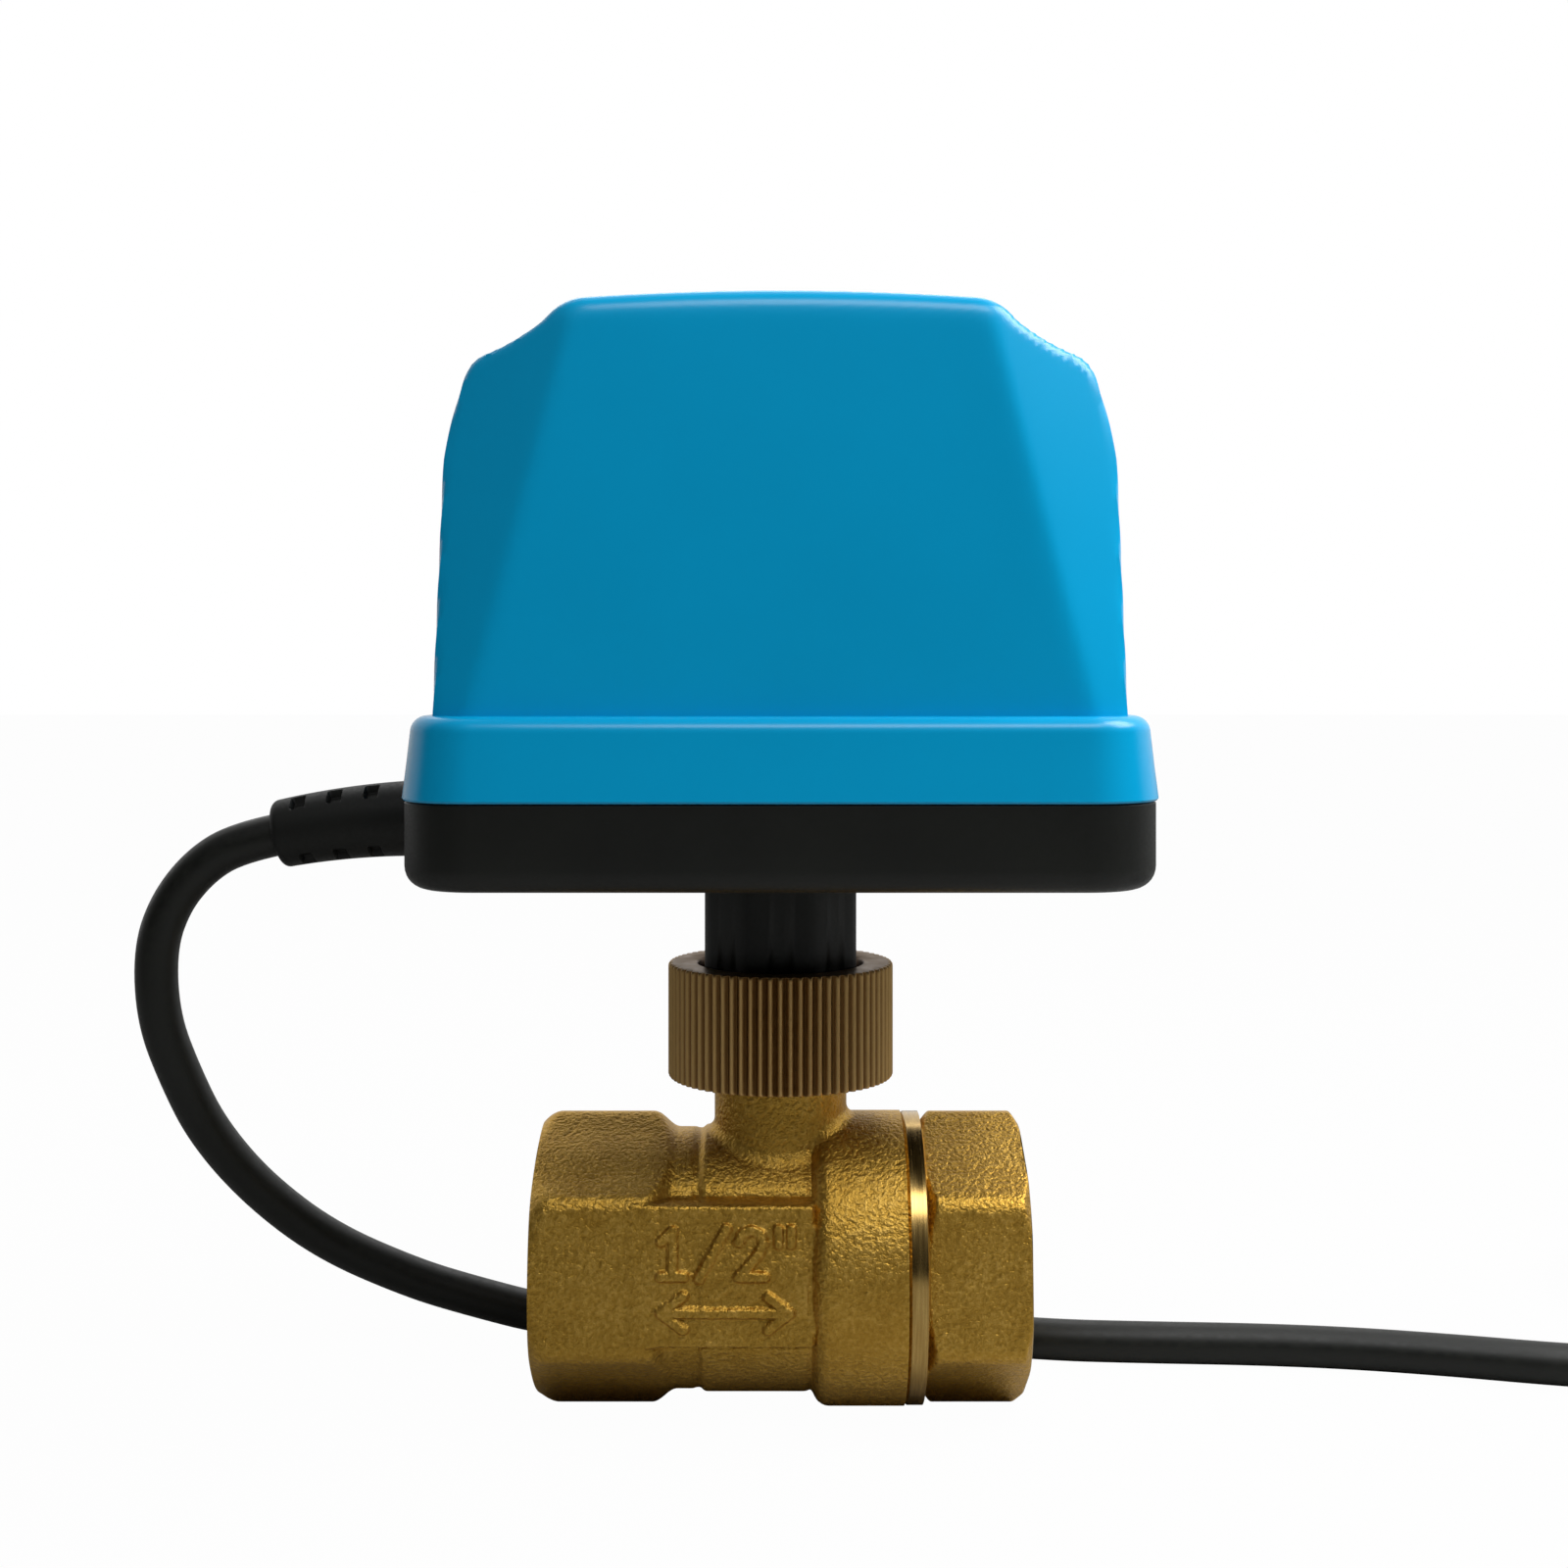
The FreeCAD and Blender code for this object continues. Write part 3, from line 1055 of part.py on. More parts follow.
def main():
    os.makedirs("parts", exist_ok=True)
    write("valve_body", make_valve_body())
    write("tail_piece", make_tail_piece())
    write("ball", make_ball())
    write("inlet_seat", make_seat(-1))
    write("outlet_seat", make_seat(1))
    write("valve_stem", make_stem())
    write("stem_o_rings", make_stem_rings())
    write("stem_washer", make_stem_washer())
    write("union_nut", make_union_nut())
    write("snap_ring", make_snap_ring())
    write("base_housing", make_base_housing())
    write("cover_gasket", gasket_ring())
    write("cover", make_cover())
    write("cover_screws", make_cover_screws())
    write("output_shaft", make_output_shaft())
    write("shaft_bush", make_shaft_bush())
    write("output_gear", make_output_gear())
    write("layshaft_gear", make_layshaft())
    write("layshaft_axle", make_layshaft_axle())
    write("motor_pinion", make_motor_pinion())
    write("motor_shaft", make_motor_shaft())
    write("gear_plate", make_gear_plate())
    write("motor_plate", make_motor_plate())
    write("lower_posts", make_posts(TRAY_FLOOR, LOWER_POST))
    write("upper_posts", make_posts(GEAR_PLATE_Z + PLATE, UPPER_POST))
    write("motor", make_motor())
    write("motor_screws", make_motor_screws())
    write("open_cam", make_cam(0, 1))
    write("closed_cam", make_cam(1, -1))
    write("open_switch", make_switch(0))
    write("closed_switch", make_switch(1))
    write("open_plunger", make_plunger(0, True))
    write("closed_plunger", make_plunger(1, False))
    write("switch_sheet", make_switch_sheet())
    write("switch_screws", make_switch_screws())
    write("board_posts", make_board_posts())
    write("circuit_board", make_circuit_board())
    write("terminal_block", make_terminal_block())
    write("relay", make_relay())
    write("capacitors", make_capacitors())
    write("strain_relief", make_strain_relief())
    write("jacket_end", jacket_inside())
    write("inner_leads", make_inner_leads())

    cable, radii = rounded_path(cable_route())
    cable_solid = tube(cable, CORD_R)
    write("cable", cable_solid)
    report_cord(cable, radii, cable_solid, "cable")
    coil = coil_wire()
    coil_solid = tube(coil, CORD_R)
    write("cable_coil", coil_solid)
    report_cord(coil, [], coil_solid, "coil")
    print(f"least gap of the coil to itself: {least_self_gap(coil, CORD_R):.2f} mm")
    write("coil_tie", make_coil_tie())
    write("lead_wires", make_lead_wires())
    write("lead_tips", make_lead_tips())


main()
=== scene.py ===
"""Motorized ball valve: the visible pieces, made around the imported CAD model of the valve.

Lengths inside the functions are millimetres about the middle of the ball: X runs along the pipe,
Z up the stem, and the front looks towards -Y. in_frame() puts them into metres in the row frame.
"""

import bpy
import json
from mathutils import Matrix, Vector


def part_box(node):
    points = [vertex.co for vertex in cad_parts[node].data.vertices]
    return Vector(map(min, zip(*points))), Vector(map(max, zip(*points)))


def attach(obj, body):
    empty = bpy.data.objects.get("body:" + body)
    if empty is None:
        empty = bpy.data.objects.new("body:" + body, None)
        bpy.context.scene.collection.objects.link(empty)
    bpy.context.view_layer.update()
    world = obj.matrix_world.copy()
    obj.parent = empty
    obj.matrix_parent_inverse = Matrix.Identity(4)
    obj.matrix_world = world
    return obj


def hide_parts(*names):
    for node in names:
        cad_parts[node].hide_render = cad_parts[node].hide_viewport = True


bl_info = {
    "name": "Motorized Valve Dresser",
    "version": (1, 0, 0),
    "blender": (4, 5, 0),
    "location": "3D View > Sidebar > Valve",
    "description": "Builds the visible pieces of a motorized ball valve around its CAD model",
    "category": "Add Mesh",
}

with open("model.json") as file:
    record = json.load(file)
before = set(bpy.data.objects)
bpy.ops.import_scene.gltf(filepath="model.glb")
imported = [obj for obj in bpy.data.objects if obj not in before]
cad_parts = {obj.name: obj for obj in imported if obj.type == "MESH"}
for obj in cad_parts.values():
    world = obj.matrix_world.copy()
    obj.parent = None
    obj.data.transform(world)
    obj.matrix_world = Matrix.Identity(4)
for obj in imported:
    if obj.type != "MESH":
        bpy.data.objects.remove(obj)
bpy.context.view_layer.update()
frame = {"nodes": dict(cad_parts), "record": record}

import json
import math
from functools import partial

import bpy
import numpy as np
from bpy.props import FloatProperty, FloatVectorProperty, IntProperty, PointerProperty
from bpy.types import Operator, Panel, PropertyGroup
from mathutils import Vector

MM = 0.001

# The middle of the ball in metres: halfway along its node in X, on the pipe axis in Y and Z.
ball_low, ball_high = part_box("ball")
BALL = np.array([(ball_low[0] + ball_high[0]) / 2, 0.0, 0.0])


def in_frame(points):
    """Millimetres about the ball to metres in the row frame."""
    return np.asarray(points, float) * MM + BALL


def node_box(node):
    """Lowest and highest corner of a CAD node, in millimetres about the ball."""
    low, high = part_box(node)
    return (np.array(low) - BALL) / MM, (np.array(high) - BALL) / MM


BODY_LOW, BODY_HIGH = node_box("valve_body")
TAIL_LOW, TAIL_HIGH = node_box("tail_piece")
NUT_LOW, NUT_HIGH = node_box("union_nut")
BASE_LOW, BASE_HIGH = node_box("base_housing")
COVER_LOW, COVER_HIGH = node_box("cover")
FLOOR_Z = BODY_LOW[2]
SEAM_Z = COVER_LOW[2]


# Shapes

def soft_min(a, b, reach):
    """The smaller of two numbers; where they differ by less than reach, a parabola joins them."""
    share = np.clip(0.5 + 0.5 * (b - a) / reach, 0, 1)
    return b + (a - b) * share - reach * share * (1 - share)


def soft_max(a, b, reach):
    """The larger of two numbers, joined in the same way."""
    return -soft_min(-a, -b, reach)


def ramp(value, start, end):
    """0 before start, 1 after end, and a smooth s between them."""
    share = np.clip((value - start) / (end - start), 0, 1)
    return share * share * (3 - 2 * share)


def stations(*stops):
    """Stops along a line with even steps between them: (first, (next, steps), ...)."""
    parts = [np.array([stops[0]])]
    for stop, steps in stops[1:]:
        parts.append(np.linspace(parts[-1][-1], stop, steps + 1)[1:])
    return np.concatenate(parts)


def circle(sides):
    """Even angles round a circle, as one row."""
    return np.linspace(0, 2 * np.pi, sides, endpoint=False)[None, :]


def round_pipe(x, radius, angle):
    """Points at a radius about the pipe axis, angle from the top towards the front."""
    return np.stack([x + 0 * angle, -radius * np.sin(angle), radius * np.cos(angle)], -1)


def round_stem(radius, z, angle):
    """Points at a radius about the stem axis, angle from +X towards the back."""
    return np.stack([radius * np.cos(angle), radius * np.sin(angle), z + 0 * angle], -1)


def columns(pairs):
    """A list of pairs as two arrays, each with one value to a row."""
    table = np.array(pairs, float)
    return table[:, :1], table[:, 1:]


def surface(name, rows, ring=False):
    """Closed mesh from a grid of points (row, column, xyz). Columns join round into loops. The rows
    join into a ring too, or else the first and the last row are closed by a fan to their middle."""
    count, around = rows.shape[:2]
    points = rows.reshape(-1, 3)
    i = np.arange(count if ring else count - 1)[:, None]
    j = np.arange(around)[None, :]
    below, beside = (i + 1) % count * around, (j + 1) % around
    quads = np.stack([i * around + j, i * around + beside, below + beside, below + j], -1)
    quads, fans = quads.reshape(-1, 4), np.empty((0, 3), int)
    if not ring:
        points = np.vstack([points, rows[0].mean(0), rows[-1].mean(0)])
        last, middle = (count - 1) * around, np.full(around, len(points) - 2)
        fans = np.vstack([np.stack([beside[0], j[0], middle], -1),
                          np.stack([last + j[0], last + beside[0], middle + 1], -1)])
    triangles = np.vstack([quads[:, :3], quads[:, [0, 2, 3]], fans])
    a, b, c = (points[triangles[:, k]] for k in range(3))
    if np.einsum("ij,ij->", a, np.cross(b, c)) < 0:
        quads, fans = quads[:, ::-1], fans[:, ::-1]
    mesh = bpy.data.meshes.new(name)
    mesh.from_pydata(in_frame(points).tolist(), [], quads.tolist() + fans.tolist())
    mesh.validate()
    return linked(name, mesh)


def linked(name, data):
    """New object of the scene."""
    piece = bpy.data.objects.new(name, data)
    bpy.context.scene.collection.objects.link(piece)
    return piece


def turned(name, profile, sides, at=(0, 0), axis="Z"):
    """Turned piece: a profile of (radius, height) pairs goes round an axis."""
    radius, height = columns(profile)
    angle = circle(sides)
    grid = [radius * np.cos(angle) + at[0], radius * np.sin(angle) + at[1]]
    grid.insert(2 if axis == "Z" else 0, height + 0 * angle)
    return surface(name, np.stack(grid, -1))


def rounded_rectangle(half_x, half_y, corner, per_corner=12, per_side=14):
    """Outline of a rectangle with round corners: four quarter circles joined by even steps."""
    points = []
    for quarter, (sx, sy) in enumerate(((1, 1), (-1, 1), (-1, -1), (1, -1))):
        a = np.radians(90 * quarter) + np.linspace(0, np.pi / 2, per_corner)
        points.append(np.stack([sx * (half_x - corner) + corner * np.cos(a),
                                sy * (half_y - corner) + corner * np.sin(a)], -1))
    outline = []
    for now, after in zip(points, points[1:] + points[:1]):
        steps = np.linspace(0, 1, per_side + 1)[1:-1, None]
        outline += [now, now[-1] + (after[0] - now[-1]) * steps]
    return np.vstack(outline)


def walled(name, profile, half_x, half_y, corner, ring):
    """A profile of (inset, height) pairs carried round a rounded rectangle."""
    rows = []
    for inset, height in profile:
        plan = rounded_rectangle(half_x - inset, half_y - inset, max(corner - inset, 0.3))
        rows.append(np.column_stack([plan, np.full(len(plan), height)]))
    return surface(name, np.stack(rows), ring)


def arc(x, z, radius, start, end, steps):
    """Points of an arc about (x, z), from one angle to the other in degrees."""
    angles = np.radians(np.linspace(start, end, steps + 1))
    return [(x + radius * math.cos(t), z + radius * math.sin(t)) for t in angles]


def combined(piece, others, operation):
    """Joins the others to the piece, or cuts them from it, and keeps the result as a plain mesh."""
    before = len(piece.data.polygons)
    for other in others:
        step = piece.modifiers.new("combine", "BOOLEAN")
        step.operation, step.solver, step.object = operation, "MANIFOLD", other
    view = bpy.context.evaluated_depsgraph_get()
    mesh = bpy.data.meshes.new_from_object(piece.evaluated_get(view))
    piece.modifiers.clear()
    old, piece.data = piece.data, mesh
    bpy.data.meshes.remove(old)
    for other in others:
        bpy.data.objects.remove(other)
    if not mesh.polygons or len(mesh.polygons) == before:
        raise RuntimeError(f"{piece.name}: the pieces could not be combined")
    return piece


def face_middles(piece):
    """Middle and direction of every face, in millimetres about the ball."""
    count = len(piece.data.polygons)
    middle, normal = np.empty(count * 3), np.empty(count * 3)
    piece.data.polygons.foreach_get("center", middle)
    piece.data.polygons.foreach_get("normal", normal)
    return (middle.reshape(-1, 3) - BALL) / MM, normal.reshape(-1, 3)


def declared(piece, body, slot, *nodes):
    """Says which body a piece rides on and hides the nodes that it stands for. The slot is not used."""
    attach(piece, body)
    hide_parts(*nodes)


def finished(piece, body, slot, node, materials, choice=None, crease=32.0):
    """Smooth shading between creases, and materials: choice has 0 or 1 for each face."""
    mesh = piece.data
    mesh.polygons.foreach_set("use_smooth", np.ones(len(mesh.polygons), bool))
    mesh.set_sharp_from_angle(angle=math.radians(crease))
    mesh.materials.clear()
    for material in materials:
        mesh.materials.append(material)
    indices = np.zeros(len(mesh.polygons)) if choice is None else choice
    mesh.polygons.foreach_set("material_index", indices.astype(np.int32))
    mesh.update()
    declared(piece, body, slot, node)


# Materials

def linear(colour):
    """sRGB hex to linear RGBA."""
    values = [int(colour[k:k + 2], 16) / 255 for k in (1, 3, 5)]
    return tuple(v / 12.92 if v <= 0.04045 else ((v + 0.055) / 1.055) ** 2.4 for v in values) + (1.0,)


def add_node(tree, kind, inputs=None, output=0, stops=(), **settings):
    """Adds one node and gives one of its outputs. inputs are values or the sockets that feed it,
    stops are a colour ramp's (position, hex) pairs, and settings are its own properties."""
    node = tree.nodes.new("ShaderNode" + kind)
    for name, value in settings.items():
        setattr(node, name, value)
    for k, (position, colour) in enumerate(stops):
        elements = node.color_ramp.elements
        element = elements[k] if k < len(elements) else elements.new(position)
        element.position, element.color = position, linear(colour)
    for name, value in (inputs or {}).items():
        if isinstance(value, bpy.types.NodeSocket):
            tree.links.new(value, node.inputs[name])
        else:
            node.inputs[name].default_value = value
    return node.outputs[output] if node.outputs else None


def new_material(name, *grains, stretch=None):
    """Empty material, its tree and the object's coordinates, with one noise for each grain, which is
    (millimetres across, detail, roughness). A stretch scales what the noises read."""
    material = bpy.data.materials.new(name)
    material.use_nodes = True
    tree = material.node_tree
    tree.nodes.clear()
    place = add_node(tree, "TexCoord", output="Object")
    read = add_node(tree, "Mapping", {"Vector": place, "Scale": stretch}) if stretch else place
    return material, tree, place, *(
        add_node(tree, "TexNoise", {"Vector": read, "Scale": 1 / (size * MM), "Detail": detail,
                                    "Roughness": rough}, "Fac") for size, detail, rough in grains)


def shaded(material, tint, stops, skin, rough, bumps, **values):
    """Ends a material with its shader. The tint pattern runs through a colour ramp, the roughness
    follows the skin pattern between two values, each bump is (height pattern, depth in mm,
    strength) on top of the one before, and values are the same all over."""
    tree, inputs = material.node_tree, {name.replace("_", " "): v for name, v in values.items()}
    inputs["Base Color"] = add_node(tree, "ValToRGB", {"Fac": tint}, stops=stops)
    inputs["Roughness"] = add_node(tree, "MapRange", {"Value": skin, "From Min": 0.3, "From Max": 0.7,
                                                      "To Min": rough[0], "To Max": rough[1]})
    under = {}
    for height, depth, strength in bumps:
        under["Normal"] = add_node(tree, "Bump", {"Height": height, "Distance": depth * MM,
                                                  "Strength": strength, **under})
    shader = add_node(tree, "BsdfPrincipled", {**inputs, **under})
    add_node(tree, "OutputMaterial", {"Surface": shader})
    return material


def sand_cast_brass():
    """Sand-cast brass, shot-blasted: a fine pebbled skin of 0.5 mm grains, satin and golden, that
    turns browner in the hollows between the grains and in 7 mm blotches."""
    material, tree, _, grain, blotch = new_material(
        "sand_cast_brass", (0.55, 2.5, 0.6), (7.0, 2.0, 0.5))
    mixed = add_node(tree, "Math", {0: grain, 1: 0.72}, operation="MULTIPLY")
    mixed = add_node(tree, "Math", {0: blotch, 1: 0.28, 2: mixed}, operation="MULTIPLY_ADD")
    return shaded(material, mixed, ((0.36, "#AC8434"), (0.52, "#BE9641"), (0.66, "#D2AA54")),
                  grain, (0.38, 0.52), [(blotch, 0.2, 0.4), (grain, 0.26, 1.0)], Metallic=1.0)


def turned_brass(name="lathe_turned_brass", stretch=(1.0, 0.04, 0.04)):
    """Brass turned on a lathe: bright, with tool rings about 0.2 mm apart round the work."""
    material, _, _, tool = new_material(name, (0.22, 2.0, 0.6), stretch=stretch)
    return shaded(material, tool, ((0.3, "#A6864C"), (0.7, "#C2A262")), tool, (0.18, 0.28),
                  [(tool, 0.02, 0.6)], Metallic=1.0)


def nut_brass_painted_shade():
    """Machined brass that has browned in the hand, dull and blotched. Its colour is painted lighter on
    the ridge tops and darker down in the flutes, as painted shade, and lighter on the top face, as
    painted light."""
    material, tree, place, blotch = new_material("knurled_oxidised_brass", (1.6, 3.0, 0.6))
    centred = add_node(tree, "Mapping", {"Vector": place, "Location": (-BALL[0], 0, 0)})
    flat = add_node(tree, "VectorMath", {0: centred, 1: (1, 1, 0)}, operation="MULTIPLY")
    radius = add_node(tree, "VectorMath", {0: flat}, "Value", operation="LENGTH")
    # Painted shade: the colour runs darker from the ridge tops down into the flutes.
    painted_shade_and_top_light = add_node(tree, "MapRange", {"Value": radius, "From Min": (NUT_HIGH[0] - FLUTE_DEPTH) * MM,
                                       "From Max": (NUT_HIGH[0] - 0.04) * MM})
    level = add_node(tree, "SeparateXYZ", {"Vector": place}, "Z")
    # Painted light: the top face gets a lighter colour than the rest.
    face = add_node(tree, "Math", {0: level, 1: (NUT_HIGH[2] - 0.05) * MM}, operation="GREATER_THAN")
    painted_shade_and_top_light = add_node(tree, "Math", {0: face, 1: 0.45, 2: painted_shade_and_top_light}, operation="MULTIPLY_ADD")
    # Random blotches of tone, added to the painted shade and painted light.
    blotch_and_painted_light = add_node(tree, "Math", {0: blotch, 1: 0.35, 2: painted_shade_and_top_light}, operation="MULTIPLY_ADD")
    return shaded(material, blotch_and_painted_light, ((0.12, "#6A4C24"), (0.55, "#8A683C"), (1.0, "#BF9C64")),
                  blotch, (0.36, 0.5), [(blotch, 0.02, 0.5)], Metallic=0.9)


def glossy_blue_abs(kit):
    """ABS moulded in a polished tool: an even gloss, and blue that drifts a little where it flowed."""
    material, tree, _, flow = new_material("moulded_glossy_blue_abs", (22.0, 2.0, 0.5))
    tint = add_node(tree, "Mix", {"Factor": flow, "A": kit.blue_low, "B": kit.blue_high}, "Result",
                    data_type="RGBA")
    shader = add_node(tree, "BsdfPrincipled", {"Base Color": tint, "Roughness": 0.26, "IOR": 1.54,
                                               "Specular IOR Level": 0.3})
    add_node(tree, "OutputMaterial", {"Surface": shader})
    return material


def moulded_plastic(name, low, high, rough, texture_mm=0.9, depth_mm=0.006, sheen=0.5):
    """Injection-moulded plastic: even colour with faint flow, and the tool's fine texture."""
    material, _, _, flow, skin = new_material(name, (16.0, 2.0, 0.5), (texture_mm, 2.0, 0.5))
    return shaded(material, flow, ((0.3, low), (0.7, high)), skin, rough, [(skin, depth_mm, 0.5)],
                  IOR=1.54, Specular_IOR_Level=sheen)


def worked_metal(name, low, high, rough, stretch=(1.0, 1.0, 1.0), depth_mm=0.012, spangle_mm=0.0):
    """Plated, ground or rolled metal: its grain lies along the stretch, or in crystals (spangle)."""
    material, tree, place, pattern, fine = new_material(name, (0.25, 2.0, 0.6), (0.25, 2.0, 0.5),
                                                        stretch=stretch)
    if spangle_mm:
        cells = add_node(tree, "TexVoronoi", {"Vector": place, "Scale": 1 / (spangle_mm * MM)}, "Color")
        pattern = add_node(tree, "SeparateColor", {"Color": cells}, "Red")
    return shaded(material, pattern, ((0.25, low), (0.75, high)), pattern, rough,
                  [(fine, depth_mm, 0.4)], Metallic=1.0)


def cord_jacket(name, low, high):
    """Extruded PVC jacket: satin, with the slow waviness and the fine scuffs of a cord in use."""
    material, _, _, scuff, wave = new_material(name, (1.1, 3.0, 0.6), (9.0, 2.0, 0.5))
    return shaded(material, scuff, ((0.35, low), (0.7, high)), scuff, (0.42, 0.56),
                  [(wave, 0.12, 0.4), (scuff, 0.01, 0.4)], IOR=1.53, Specular_IOR_Level=0.35)


def glass_fibre_laminate():
    """Circuit board laminate: green lacquer over a woven glass cloth with 0.5 mm threads."""
    material, tree, place = new_material("lacquered_glass_laminate")
    across, along = (add_node(tree, "TexWave", {"Vector": place, "Scale": 1 / (20 * 0.5 * MM)}, "Fac",
                              bands_direction=way) for way in "XY")
    weave = add_node(tree, "Math", {0: across, 1: along}, operation="MULTIPLY")
    return shaded(material, weave, ((0.0, "#0D4A2C"), (1.0, "#17653C")), weave, (0.22, 0.34),
                  [(weave, 0.01, 0.4)])


def finishes():
    """One finish for each material slot of the nodes that keep their CAD mesh. Chrome mirrors, zinc
    is satin, blued steel dark, ground steel finely lined and galvanised sheet spangled. PTFE and
    acetal are white and waxy, rubber is dull, nylon satin, and phenolic nearly black with a gloss."""
    plastic, metal = moulded_plastic, worked_metal
    return {
        "chromed_brass": metal("chrome_plated_brass",
                               "#D5D8DC", "#F0F2F4", (0.05, 0.1), depth_mm=0.002),
        "turned_brass": turned_brass("lathe_turned_brass_stem", (0.04, 0.04, 1.0)),
        "white_ptfe": plastic("skived_ptfe", "#E4E4DF", "#F1F1ED", (0.38, 0.48)),
        "black_rubber": plastic("moulded_nitrile_rubber",
                                "#17181A", "#222325", (0.55, 0.7), 0.4, 0.012),
        "spring_steel": metal("blued_spring_steel", "#4A4E55", "#7A7F86", (0.25, 0.36)),
        "zinc_steel": metal("zinc_plated_steel", "#A9ABA6", "#C9CBC4", (0.24, 0.36), depth_mm=0.008),
        "ground_steel": metal("ground_steel", "#9A9DA0", "#C4C7CA", (0.18, 0.28), (0.05, 0.05, 1.0)),
        "white_acetal": plastic("moulded_acetal", "#E6E4DA", "#F2F0E8", (0.30, 0.40)),
        "bronze_polymer": plastic("moulded_bearing_polymer", "#5E4A2C", "#705A38", (0.45, 0.55)),
        "galvanised_sheet": metal("galvanised_sheet",
                                  "#8E9396", "#B9BEC1", (0.28, 0.42), spangle_mm=4.0),
        "red_plastic": plastic("moulded_red_nylon", "#8E1712", "#B0231B", (0.30, 0.42)),
        "grey_plastic": plastic("moulded_grey_nylon", "#6B7074", "#80858A", (0.34, 0.46)),
        "black_phenolic": plastic("moulded_phenolic", "#16120F", "#241D18", (0.26, 0.38), 0.6),
        "switch_film": plastic("pressed_insulating_film", "#C9B98C", "#DACB9F", (0.35, 0.5), 0.5),
        "green_laminate": glass_fibre_laminate(),
        "green_plastic": plastic("moulded_green_polyamide", "#1E6A37", "#2A8147", (0.32, 0.44)),
        "relay_blue": plastic("moulded_relay_case", "#1F3F8F", "#2B50A8", (0.25, 0.35)),
        "capacitor_can": metal("sleeved_capacitor_can", "#23262B", "#3A3E45", (0.3, 0.42)),
        "black_pvc": cord_jacket("extruded_black_pvc", "#111310", "#1E201C"),
        "core_insulation": cord_jacket("extruded_core_insulation", "#5A3A20", "#6D4829"),
        "tinned_copper": metal("tinned_copper_strand", "#B4B3AD", "#D6D5CF", (0.22, 0.34)),
        "black_nylon": plastic("moulded_black_nylon", "#0F100F", "#1C1D1B", (0.34, 0.48), 0.5, 0.01),
    }


# Settings

Length = partial(FloatProperty, unit="LENGTH")
Power = partial(FloatProperty, unit="POWER")
Colour = partial(FloatVectorProperty, size=4, subtype="COLOR")


class ValveStageSettings(PropertyGroup):
    """Camera and light."""
    lens: FloatProperty(name="Lens", description="Focal length on a 36 mm sensor", default=45.0,
                        min=10.0, unit="CAMERA")
    distance: Length(name="Distance", description="From the camera to the stem axis", default=0.2563)
    height: Length(name="Height", description="Camera above the pipe axis", default=0.0763)
    fall: FloatProperty(name="Horizon shift", description="Picture shift, as a share of its width",
                        default=-0.0719)
    softbox: Power(name="Softbox", description="The softbox in front, in watts", default=1.65)
    side: Power(name="Side light", description="The light on the right, in watts", default=1.4)
    back: Power(name="Back light", description="The weak light behind, in watts", default=0.5)
    fill: FloatProperty(name="Fill", description="Strength of the even light from all round",
                        default=0.12)


class ValveBodySettings(PropertyGroup):
    """Cast body, tail piece and nut."""
    apothem: Length(name="Hexagon half flats", description="Half the width across the flats",
                    default=0.0164)
    corner: Length(name="Hexagon corner", description="Radius of the hexagon's corners", default=0.0019)
    pitch: Length(name="Thread pitch", description="Pitch of the G 1/2 pipe thread", default=0.001814)
    fillet: Length(name="Neck fillet", description="Radius at the foot of the neck", default=0.0015)
    mark: Length(name="Mark height", description="How far the size mark stands out", default=0.00055)
    flutes: IntProperty(name="Nut flutes", description="Straight flutes round the union nut",
                        default=72, min=12)


class ValveHousingSettings(PropertyGroup):
    """Base tray, cover and boot."""
    blue_low: Colour(name="Cover blue, deep", description="Deeper blue of the cover",
                     default=linear("#00A2D8"))
    blue_high: Colour(name="Cover blue, clear", description="Clearer blue of the cover",
                      default=linear("#00AAE2"))
    edge: Length(name="Cover edge", description="Rounding of the cover's top edges", default=0.0025)
    base_edge: Length(name="Tray edge", description="Rounding under the tray", default=0.0027)


class ValveCordSettings(PropertyGroup):
    """Cable and its cores."""
    diameter: Length(name="Cable", description="Outside diameter of the cable", default=0.0055)
    core: Length(name="Core", description="Outside diameter of one core", default=0.0018)
    coil_radius: Length(name="Coil", description="Radius of the outermost turn", default=0.0305)


# Cast body, tail piece and nut

WAIST_R, WAIST_STEP, TURNED_R, BARREL_R = 16.4, 0.35, 18.6, 18.5
PAD_TOP, PAD_FOOT, PAD_RIGHT = 10.6, 6.4, 4.9
CONE_R, CONE_SLOPE, TAIL_CONE_R, TAIL_CONE_SLOPE = 17.2, 1.2, 17.1, 1.5
HEX_TURN = math.radians(5.5)
VALLEY_LEFT, VALLEY_RIGHT, VALLEY_DEPTH, VALLEY_WIDTH, LEDGE_DEPTH = -10.3, 3.9, 0.5, 0.45, 0.35
BORE_R, CHAMBER_R, WATERWAY_R, PORT_END, SEAT_X = 9.35, 12.7, 7.5, 17.5, 12.2
THREAD_DEPTH, THREAD_LENGTH, MOUTH_CHAMFER = 1.05, 11.8, 1.1
COLLAR_R, SPIGOT_R = 18.4, 13.5
FLUTE_DEPTH, NUT_CHAMFER, NUT_BORE_R, NUT_LIP_R = 0.62, 0.22, 13.4, 10.75
NECK_R, NECK_THREAD_R = 8.6, 11.92


